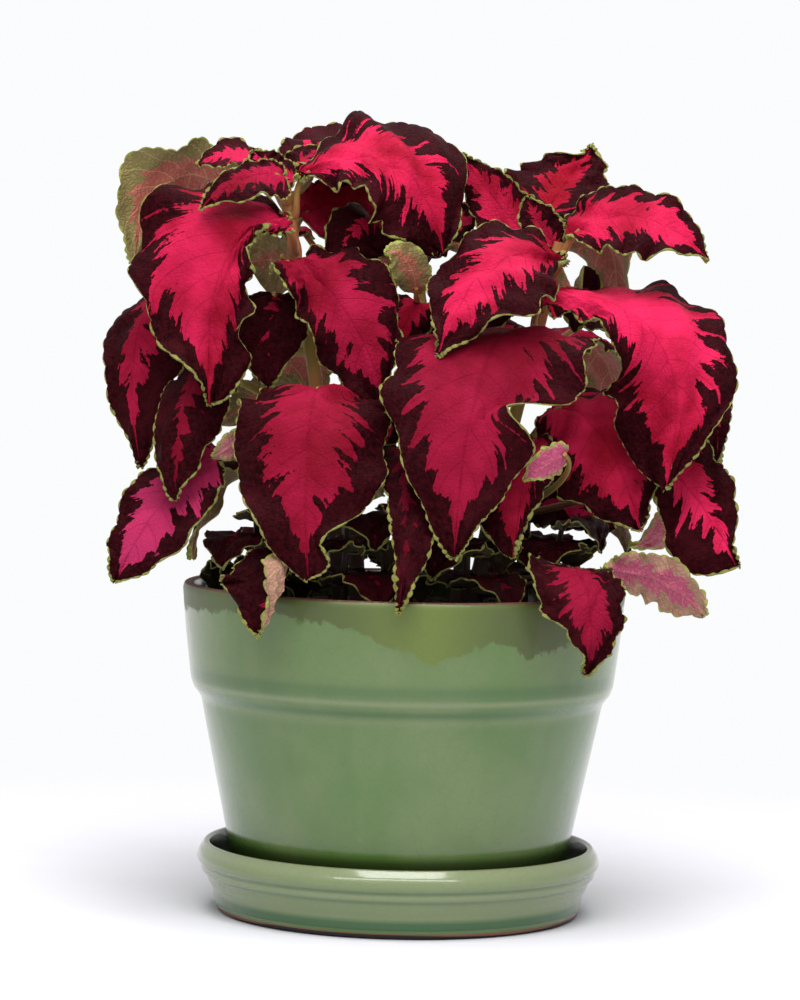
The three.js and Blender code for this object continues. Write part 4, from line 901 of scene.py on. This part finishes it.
def blade_sheet(leaf, length, w, v, extra, frill):
    """The blade's middle sheet. t = w - shift |v| runs along the midrib; from there the point goes
    sideways and up along an arc that starts at the fold angle and turns by the curl."""
    across, left = np.abs(v), v < 0
    h = margin_width(leaf, w, v) * across + extra * across**6
    back = SHIFT * np.sin(math.pi * np.minimum(w / SHIFT_END, 1) ** SHIFT_POWER)
    t = w - back * across
    inside = np.clip(t, 0, 1)
    along = heading(leaf["rib"], inside)
    points = bezier(leaf["rib"], inside) + along * (np.minimum(t, 0) * length)[..., None]

    azimuth0, lift0, azimuth1, lift1 = np.radians(leaf["across"])
    azimuth = azimuth0 + (azimuth1 - azimuth0) * inside
    lift = lift0 + (lift1 - lift0) * inside
    side = np.stack([np.cos(azimuth) * np.cos(lift), np.sin(azimuth) * np.cos(lift), np.sin(lift)], -1)
    side = unit(side - (side * along).sum(-1, keepdims=True) * along)
    up = np.cross(along, side)

    fold_l, curl_l, fold_r, curl_r = np.radians(leaf["bend"])
    fold = np.where(left, fold_l, fold_r)
    rate = np.where(left, curl_l / max(leaf["left"]), curl_r / max(leaf["right"]))
    rate = np.where(np.abs(rate) < STRAIGHT, STRAIGHT, rate)
    lateral = (np.sin(fold + rate * h) - np.sin(fold)) / rate
    rise = (np.cos(fold) - np.cos(fold + rate * h)) / rate

    height, cycles, phase = leaf["wave"]
    turn = TAU * (cycles * w + phase) + np.where(left, 0, LAG)
    ripple = height * across**2 * np.sin(turn) * np.sqrt(np.sin(math.pi * np.clip(w, 0, 1)))
    points = points + side * np.where(left, -lateral, lateral)[..., None]
    return points + up * (rise + ripple + frill)[..., None], h, t


def blade(leaf, seed, habit, fineness=1.0):
    """A closed blade: the sheet, half its thickness either way along its normal, plus relief. The
    teeth are |sin|^0.6 of the place along the margin; frill, lobes and sag are sums of sines with
    random heights, lengths and phases; the quilt is sin^0.8 between one side vein and the next."""
    draw = np.random.default_rng(seed)
    broad = max(leaf["left"] + leaf["right"])
    length = curve_length(leaf["rib"])
    rows = int(np.clip(length * ROWS_PER_MM, FEWEST_ROWS, MOST_ROWS) * fineness)
    half_columns = np.clip(broad * COLUMNS_PER_MM, FEWEST_COLUMNS, MOST_COLUMNS) * fineness
    columns = 2 * int(half_columns) + 1
    w, v = row_shares(rows)[:, None], column_shares(columns)[None]
    run = np.linspace(0, 1, rows)[:, None]
    across = np.abs(v)
    left = v < 0

    teeth = 6 + length / TOOTH_PITCH
    tooth_turn = run * teeth + np.where(left, 0.0, 0.37) + 0.25 * np.sin(TAU * (run * 1.7 + draw.random()))
    scallop = np.abs(np.sin(math.pi * tooth_turn)) ** 0.6
    extra = TOOTH * min(1, 0.2 + length / 70) * scallop
    waves = [draw.random(3) for _ in range(4)]
    frill = sum(
        (0.5 + 0.5 * a) * np.sin(TAU * ((2.2 + 1.5 * k + b) * w + c + 0.3 * left))
        for k, (a, b, c) in enumerate(waves))
    frill = FRILL * min(length, 80) * frill * across**3
    frill = frill + LIP * (0.4 + scallop) * across**10  # the last few mm turn up at each tooth
    lobes = sum(
        (0.5 + 0.5 * b) * np.sin(TAU * ((3.1 + 1.9 * k + a) * w + b + 0.4 * left))
        for k, (a, b, c) in enumerate(waves[:3]))
    extra = extra + LOBE * broad * lobes * np.sin(math.pi * run)
    points, h, t = blade_sheet(leaf, length, w, v, extra, frill)

    size = min(1, broad / 30)
    count = 5 + length / VEIN_PITCH
    lean = 0.30 * min(1.3, broad / length / 0.36)
    vein = count * (t - lean * across**1.15 * (1 - 0.25 * t)) + 40.5  # above 0 everywhere
    part = np.mod(vein, 1)
    beside = np.minimum(part, 1 - part) * length / count  # mm from the nearest side vein
    swell = np.sin(math.pi * part) ** 0.8
    cells = 0.72 + 0.28 * np.abs(np.sin(math.pi * (4.2 * across + 0.5 * np.floor(vein))))
    quilt = QUILT * size * swell * cells * across**0.4 * (1 - across) ** 0.3
    sag = sum(
        (0.4 + a) * np.sin(TAU * ((1.5 + k) * w + (0.8 + b) * v + c)) for k, (a, b, c) in enumerate(waves))
    quilt = quilt + SAG * size * sag
    furrow = FURROW * size * peak(h, 0, 1.1) * (1 - t)
    ribs = (0.25 + MIDRIB * size) * peak(h, 0, 0.5 + 0.6 * size) * (1.05 - t)
    ribs = ribs + SIDE_RIB * size * peak(beside, 0, 0.7) * (1 - across)

    normal = unit(np.cross(np.gradient(points, axis=0), np.gradient(points, axis=1)))
    top = points + normal * (THICKNESS / 2 + quilt - furrow)[..., None]
    bottom = points + normal * (-THICKNESS / 2 + quilt - ribs)[..., None]

    total = rows * columns
    under_faces = grid_faces(rows, columns) + total
    upper_faces = grid_faces(rows, columns)[:, ::-1]
    number = np.arange(total).reshape(rows, columns)
    margin = np.concatenate([number[0], number[1:, -1], number[-1, -2::-1], number[-2:0:-1, 0]])
    after = np.roll(margin, -1)
    edge_faces = np.stack([margin + total, after + total, after, margin], -1)

    room = (1 - across) * margin_width(leaf, w, v)
    full = np.ones_like(h)
    place = np.stack([v * full, w * full, room], -1).reshape(-1, 3)
    veins = np.stack([vein, tooth_turn * full, seed * full], -1).reshape(-1, 3)
    habits = np.tile(habit, (total, 1))
    numbers = [np.concatenate([table, table]) for table in (place, veins, habits)]
    both = np.concatenate([top.reshape(-1, 3), bottom.reshape(-1, 3)])
    return skin(both, [upper_faces, under_faces, edge_faces], (UPPER, UNDER, UPPER), numbers)


def arched(base, azimuth, reach, rise, drop, half, bend, wave):
    """The shape of a leaf that runs `reach` outward, first `rise` up and then `drop` down."""
    out = reach * np.array([math.cos(math.radians(azimuth)), math.sin(math.radians(azimuth)), 0])
    steps = (0.4, rise), (0.95, rise * 0.9), (1, -drop)  # share of the reach, height
    rib = [base] + [base + out * share + (0, 0, up) for share, up in steps]
    across, widths = (azimuth + 90, 0, azimuth + 90, 0), (half * 0.85, half, half * 0.72)
    return dict(zip(SHAPE, (rib, across, widths, widths, bend, wave)))


print("rows, first and last shares:", row_shares(5).round(3))

# %% [markdown]
# ## The pattern of a blade
# The pattern follows the veins, so the shader needs to know where it is on the blade. Each corner
# carries v, w and its distance to the margin in mm; the number of the nearest side vein, which
# tooth it is at, and a number of the leaf's own; and the leaf's habit. The crimson runs out along
# each vein and the maroon comes in between them, and noise that is stretched along the veins tears
# that line into flames. A picture of one leaf would be quicker, but every leaf would then show the
# same flames. Top and underside both use this node group, each with its own colours.

# %% Leaf pattern group
pattern = Graph(bpy.data.node_groups.new("leaf pattern", "ShaderNodeTree"))
side, share, room = pattern.numbers(0)
vein, tooth, own = pattern.numbers(1)
# painted shade: below 0, lilac darkens the top to deep wine and pale darkens the underside
reach, lilac, pale = pattern.numbers(2)
spot = pattern.place()
across = pattern.math("ABSOLUTE", side)
own_shift = pattern.times(own, 3.7)
side_shift = pattern.line(pattern.math("GREATER_THAN", side, 0.0), 5.0, own_shift)


def torn(fine, stretch, detail, roughness=0.5):
    """Noise that changes `fine` times as fast across the veins and `stretch` times along them."""
    x, y = pattern.times(vein, fine), pattern.times(across, stretch)
    point = pattern.node("CombineXYZ", {0: x, 1: y, 2: side_shift})
    return pattern.noise(point, 1.0, detail, roughness)


on_vein = pattern.math("ABSOLUTE", pattern.line(pattern.math("FRACT", vein), 2.0, -1.0))
flames = torn(2.8, 2.2, 3, 0.6)
tongues = torn(0.9, 1.4, 1)
fine = pattern.noise(spot, 520, 4, 0.65)
edge = reach
for value, slope, start in [
    (pattern.math("POWER", on_vein, 1.6), 0.26, -0.12), (flames, 1.15, -0.575),
    (tongues, 0.8, -0.4), (fine, 0.3, -0.15), (share, -0.3, 0.2),
]:
    edge = pattern.plus(edge, pattern.line(value, slope, start))
ending = pattern.flipped(pattern.times(pattern.step(share, 0.80, 0.97), 0.85))
edge = pattern.math("MINIMUM", pattern.times(edge, ending), 0.97)
heart = pattern.step(pattern.math("SUBTRACT", edge, across), -0.012, 0.012)
bump_on_tooth = pattern.math("ABSOLUTE", pattern.math("SINE", pattern.times(tooth, math.pi)))
bump_on_tooth = pattern.larger(pattern.line(bump_on_tooth, 1.0, -0.35), 0.0)
beads = pattern.line(pattern.noise(spot, 300, 2), 3.0, -0.8)
lime_width = pattern.plus(pattern.times(bump_on_tooth, beads), 0.1)
lime = pattern.step(pattern.math("SUBTRACT", lime_width, room), -0.12, 0.12)
vein_line = pattern.step(on_vein, 0.90, 0.985)
midrib = pattern.flipped(pattern.step(across, 0.0, 0.035))
net = pattern.node("TexVoronoi", {"Vector": spot, "Scale": 480.0}, "Distance", feature="DISTANCE_TO_EDGE")
pattern_out = pattern.tree.nodes.new("NodeGroupOutput")
for label, value in {
    "Heart": heart, "Lime": lime, "Vein": pattern.larger(vein_line, midrib),
    "Net": pattern.step(net, 0.0, 0.25), "Mottle": pattern.noise(spot, 32, 4), "Fine": fine,
    "Lilac": lilac, "Pale": pale,
}.items():
    pattern.tree.interface.new_socket(name=label, in_out="OUTPUT", socket_type="NodeSocketFloat")
    pattern.tree.links.new(value, pattern_out.inputs[label])
print("leaf pattern nodes:", len(pattern.tree.nodes))

# %% [markdown]
# ## Leaf finishes
# The upper side is velvety and has hardly any gloss. Crimson drifts to rose and to lilac, the
# maroon is nearly black with a wine tone, and a thin lime line beads along the teeth. The
# underside is olive outside and salmon inside, paler along the veins, and it shows the quilting.
# On leaves that hang in shade, painted shade darkens the crimson to deep wine and the underside
# to dark brown.
# One material could tell the sides apart by a mask, but two are easier to read. Stems and petioles
# share a third one.

# %% Leaf finishes
def patterned(name, **constants):
    """A finish with the pattern group in it, and the group's outputs by name."""
    made = Finish(name, **constants)
    group = made.tree.nodes.new("ShaderNodeGroup")
    group.node_tree = pattern.tree
    return made, group.outputs


upper, on = patterned("upper leaf", Specular_IOR_Level=0.04, Specular_Tint=colour(255, 150, 160))
rose = upper.mix(upper.step(on["Mottle"], 0.32, 0.68), (132, 12, 30), (222, 38, 86))
rose = upper.mix(on["Lilac"], rose, (164, 46, 92))
# painted shade: a habit below 0 darkens the crimson to deep wine
rose = upper.mix(upper.times(on["Lilac"], -1.0), rose, (84, 10, 26))
rose = upper.mix(upper.times(on["Vein"], 0.25), rose, (96, 2, 28))
maroon = upper.mix(upper.step(on["Fine"], 0.25, 0.75), (18, 3, 5), (52, 10, 16))
maroon = upper.mix(upper.step(on["Mottle"], 0.5, 0.75), maroon, (62, 16, 22))
lime_tone = upper.mix(on["Fine"], (98, 98, 42), (150, 150, 88))
upper.give(
    Base_Color=upper.mix(on["Lime"], upper.mix(on["Heart"], maroon, rose), lime_tone),
    Roughness=upper.line(on["Fine"], 0.25, 0.42))
upper.relief(upper.line(on["Vein"], -0.8, on["Net"]), 0.00012)

under, on = patterned(
    "leaf underside", Roughness=0.6, Specular_IOR_Level=0.2, Sheen_Weight=0.06, Sheen_Roughness=0.5)
olive = under.mix(on["Mottle"], (124, 110, 62), (152, 142, 92))
brown = under.mix(on["Fine"], (92, 62, 40), (128, 92, 60))
salmon = under.mix(on["Mottle"], (182, 84, 74), (204, 116, 104))
pink = under.mix(on["Fine"], (206, 140, 128), (226, 172, 160))
inner = under.mix(on["Lilac"], under.mix(on["Pale"], salmon, pink), (184, 44, 112))
outer = under.mix(on["Pale"], olive, under.mix(0.5, brown, pink))
below = under.mix(under.times(on["Heart"], 0.8), outer, inner)
for share, tone in [
    (under.line(on["Net"], -0.2, 0.2), (84, 62, 36)),
    (under.times(on["Vein"], under.line(on["Lilac"], -0.3, 0.5)), (196, 172, 120)),
    # painted shade: a habit below 0 darkens the underside
    (under.times(on["Pale"], -1.0), (46, 20, 20)),
    (on["Lime"], (150, 160, 70)),
]:
    below = under.mix(share, below, tone)
under.give(Base_Color=below)
under.relief(on["Net"], 0.00018)

stalk = Finish("coleus stalk", Roughness=0.45, Specular_IOR_Level=0.3)
stalk_place = stalk.place()
fibres = stalk.noise(stalk.scaled(stalk_place, 900, 900, 60), 1.0, 3)
drift = stalk.step(stalk.noise(stalk_place, 22, 2), 0.4, 0.62)
tone = stalk.mix(drift, (128, 114, 46), (162, 92, 58))
tone = stalk.mix(stalk.times(fibres, 0.3), tone, (184, 152, 84))
lit = stalk.step(stalk.node("SeparateXYZ", {0: stalk_place}, "Z"), 0.15, 0.2)
stalk.give(Base_Color=stalk.mix(lit, (52, 34, 24), tone))
stalk.relief(fibres, 0.0002)
LEAF_FINISHES = [stalk, upper, under]
print("leaf finishes:", [finish.material.name for finish in LEAF_FINISHES])

# %% [markdown]
# ## Petioles and single leaves
# A petiole leaves its stem square to it and bends into the midrib, which it goes on as. A curve
# object with a round bevel would nearly do, but it couldn't flare where it meets the stem. This
# tube starts inside the stem and ends inside the blade, so no gap shows. Each leaf is one mesh
# with its petiole.

# %% Petioles and leaves
STEM_ROOT, STEM_TIP = 3.4, 2.1  # radii in mm
PETIOLE_ROOT, PETIOLE_TIP, PETIOLE_NECK, PETIOLE_END = 1.7, 1.25, 0.75, 0.85
PETIOLE_SUNK, PETIOLE_INSIDE = 0.7, 5  # mm below the blade, and mm that it runs on in it
PETIOLE_RINGS, PETIOLE_AROUND = 18, 12
START_SHARE = 0.7  # of the stem's radius, so the petiole starts inside it
AWAY_SHARE, NECK_SHARE = 0.3, 0.35  # of the span, straight from the stem and straight to the blade
COLLAR, COLLAR_REACH = 0.7, 2.2  # mm thicker where it leaves the stem, and over how many mm


def direction(azimuth, lift):
    """One long, toward that azimuth and lifted that far above level, both in degrees."""
    azimuth, lift = math.radians(azimuth), math.radians(lift)
    level = math.cos(lift)
    return np.array([math.cos(azimuth) * level, math.sin(azimuth) * level, math.sin(lift)])


def petiole(leaf):
    """A tube along a Bezier curve from inside the stem, first straight away from it, to inside the
    blade, where it runs along the midrib."""
    scale, curve = STEMS[leaf["stem"]]
    t = at_height(curve, leaf["node"])
    axis, along = bezier(curve, t), heading(curve, t)
    base = np.array(leaf["rib"][0], float)
    inward = unit(np.array(leaf["rib"][1], float) - base)
    below = unit(np.cross(direction(*leaf["across"][:2]), inward)) * PETIOLE_SUNK
    away = base - axis
    away = unit(away - (away @ along) * along)
    start = axis + away * (STEM_ROOT + (STEM_TIP - STEM_ROOT) * t) * scale * START_SHARE
    span = np.linalg.norm(base - start)
    neck, end = base - inward * span * NECK_SHARE, base + inward * PETIOLE_INSIDE
    path = [start, start + away * span * AWAY_SHARE, neck + below, end + below]
    s = np.linspace(0, 1, PETIOLE_RINGS)
    radii = np.interp(s, (0, PETIOLE_NECK, 1), (PETIOLE_ROOT, PETIOLE_TIP, PETIOLE_END))
    radii = radii + COLLAR * peak(s * span, 0, COLLAR_REACH)
    return limb(path, radii, along, PETIOLE_AROUND)


leaves = []
for name, stem, node, *shape, habit in FRONT_LEAVES:
    leaves.append(dict(zip(SHAPE, shape), name=name, stem=stem, node=node, habit=habit))
    if name in TUCKS:
        half, tuck = TUCKS[name]
        leaves[-1][half] = tuck
for name, stem, node, *way, height, phase in BACK_LEAVES:
    shape = arched(*way, BACK_BEND, (height, BACK_CYCLES, phase))
    leaves.append(dict(shape, name=name, stem=stem, node=node, habit=BACK_HABIT))

for seed, leaf in enumerate(leaves):
    name, parts = "leaf_" + leaf["name"], [blade(leaf, seed, leaf["habit"]), petiole(leaf)]
    put_mesh("fine_" + name, name, parts, LEAF_FINISHES)
print("leaves:", len(leaves), "the first has", triangles["leaf_left_big"], "triangles")

# %% [markdown]
# ## Stems with their youngest leaves
# A coleus stem is square, juicy and a little thicker where leaves leave it. A long box bent along
# the curve would have sharp edges, so this is the petioles' tube with a rounded square for its
# section. The youngest leaves at the tip are one piece with it.

# %% Stems
EAST = np.array([1.0, 0, 0])
STEM_FACTOR = 1.03  # half the width of the square for a radius of 1
STEM_RINGS, STEM_AROUND = 150, 28
SWELLING, SWELLING_REACH, MOST_SWELLING = 0.35, 2.4, 0.5  # mm, where a leaf leaves the stem
TIP_SEED, SHOOT_SEED = 60, 100  # of the random numbers for the young leaves

for number, (name, (scale, curve)) in enumerate(STEMS.items()):
    t = np.linspace(0, 1, STEM_RINGS)
    heights = bezier(curve, t)[:, 2]
    joints = [leaf["node"] for leaf in leaves if leaf["stem"] == name]
    swollen = sum(SWELLING * peak(heights, joint, SWELLING_REACH) for joint in joints)
    radii = (STEM_ROOT + (STEM_TIP - STEM_ROOT) * t) * scale * STEM_FACTOR
    radii = radii + np.minimum(swollen, MOST_SWELLING)
    parts = [limb(curve, radii, EAST, STEM_AROUND, square_section)]
    young = [arched(*way, YOUNG_BEND, YOUNG_WAVE) for stem, *way in ARCHED_TIPS if stem == name]
    young += [dict(zip(SHAPE, shape)) for stem, *shape in TIP_LEAVES if stem == name]
    parts += [blade(leaf, TIP_SEED + 5 * number + k, TIP_HABIT) for k, leaf in enumerate(young)]
    put_mesh("fine_stem_" + name, "stem_" + name, parts, LEAF_FINISHES)
print("stems:", len(STEMS))

# %% [markdown]
# ## Low shoots
# Short side shoots fill the mouth of the pot: a thin stem with pairs of small leaves, each pair
# turned a quarter from the one below, and a single leaf at the tip. Their leaves are darkened with
# painted shade, as they stand under the foliage. Copies of one shoot would do in the shade, but the
# formulas give each leaf its own waves at no extra cost.

# %% Shoots
SHOOT_ROOT, SHOOT_TIP, SHOOT_SUNK = 1.9, 1.1, 8  # mm: radii, and how deep it stands in the soil
SHOOT_BEND_AT, SHOOT_LOWEST = 0.7, 0.45  # shares of the way up: the bend, and the lowest pair
SHOOT_REACH, SHOOT_RISE, SHOOT_DROP, SHOOT_HALF = 0.82, 0.3, 0.3, 0.58  # shares of the leaf's length
SHOOT_LEAVES, SHOOT_SMALLER, SHOOT_FINENESS = 5, 0.12, 0.8  # each pair is that share smaller
SHOOT_RINGS, SHOOT_AROUND = 16, 10

for number, (name, ((x, y), top, size, turn)) in enumerate(SHOOTS.items()):
    middle = [(x + top[0]) / 2, (y + top[1]) / 2, SOIL_TOP + (top[2] - SOIL_TOP) * SHOOT_BEND_AT]
    path = [[x, y, SOIL_TOP - SHOOT_SUNK], [x, y, SOIL_TOP + SHOOT_SUNK], middle, top]
    parts = [limb(path, np.linspace(SHOOT_ROOT, SHOOT_TIP, SHOOT_RINGS), EAST, SHOOT_AROUND)]
    for i in range(SHOOT_LEAVES):
        pair = i // 2
        base = bezier(path, SHOOT_LOWEST + (1 - SHOOT_LOWEST) * pair / 2)
        small = arched(
            base, turn + 90 * pair + 180 * (i % 2), size * SHOOT_REACH * (1 - SHOOT_SMALLER * pair),
            size * SHOOT_RISE, size * SHOOT_DROP, size * SHOOT_HALF, SHOOT_BEND, YOUNG_WAVE)
        parts.append(blade(small, SHOOT_SEED + 7 * number + i, SHOOT_HABIT, SHOOT_FINENESS))
    put_mesh("fine_shoot_" + name, "shoot_" + name, parts, LEAF_FINISHES)
print("shoots:", len(SHOOTS))

# %% [markdown]
# The last step counts the triangles, in all and in the largest piece.

# %% Triangles and end
print("triangles in all:", sum(triangles.values()), "most in one piece:", max(triangles.values()))
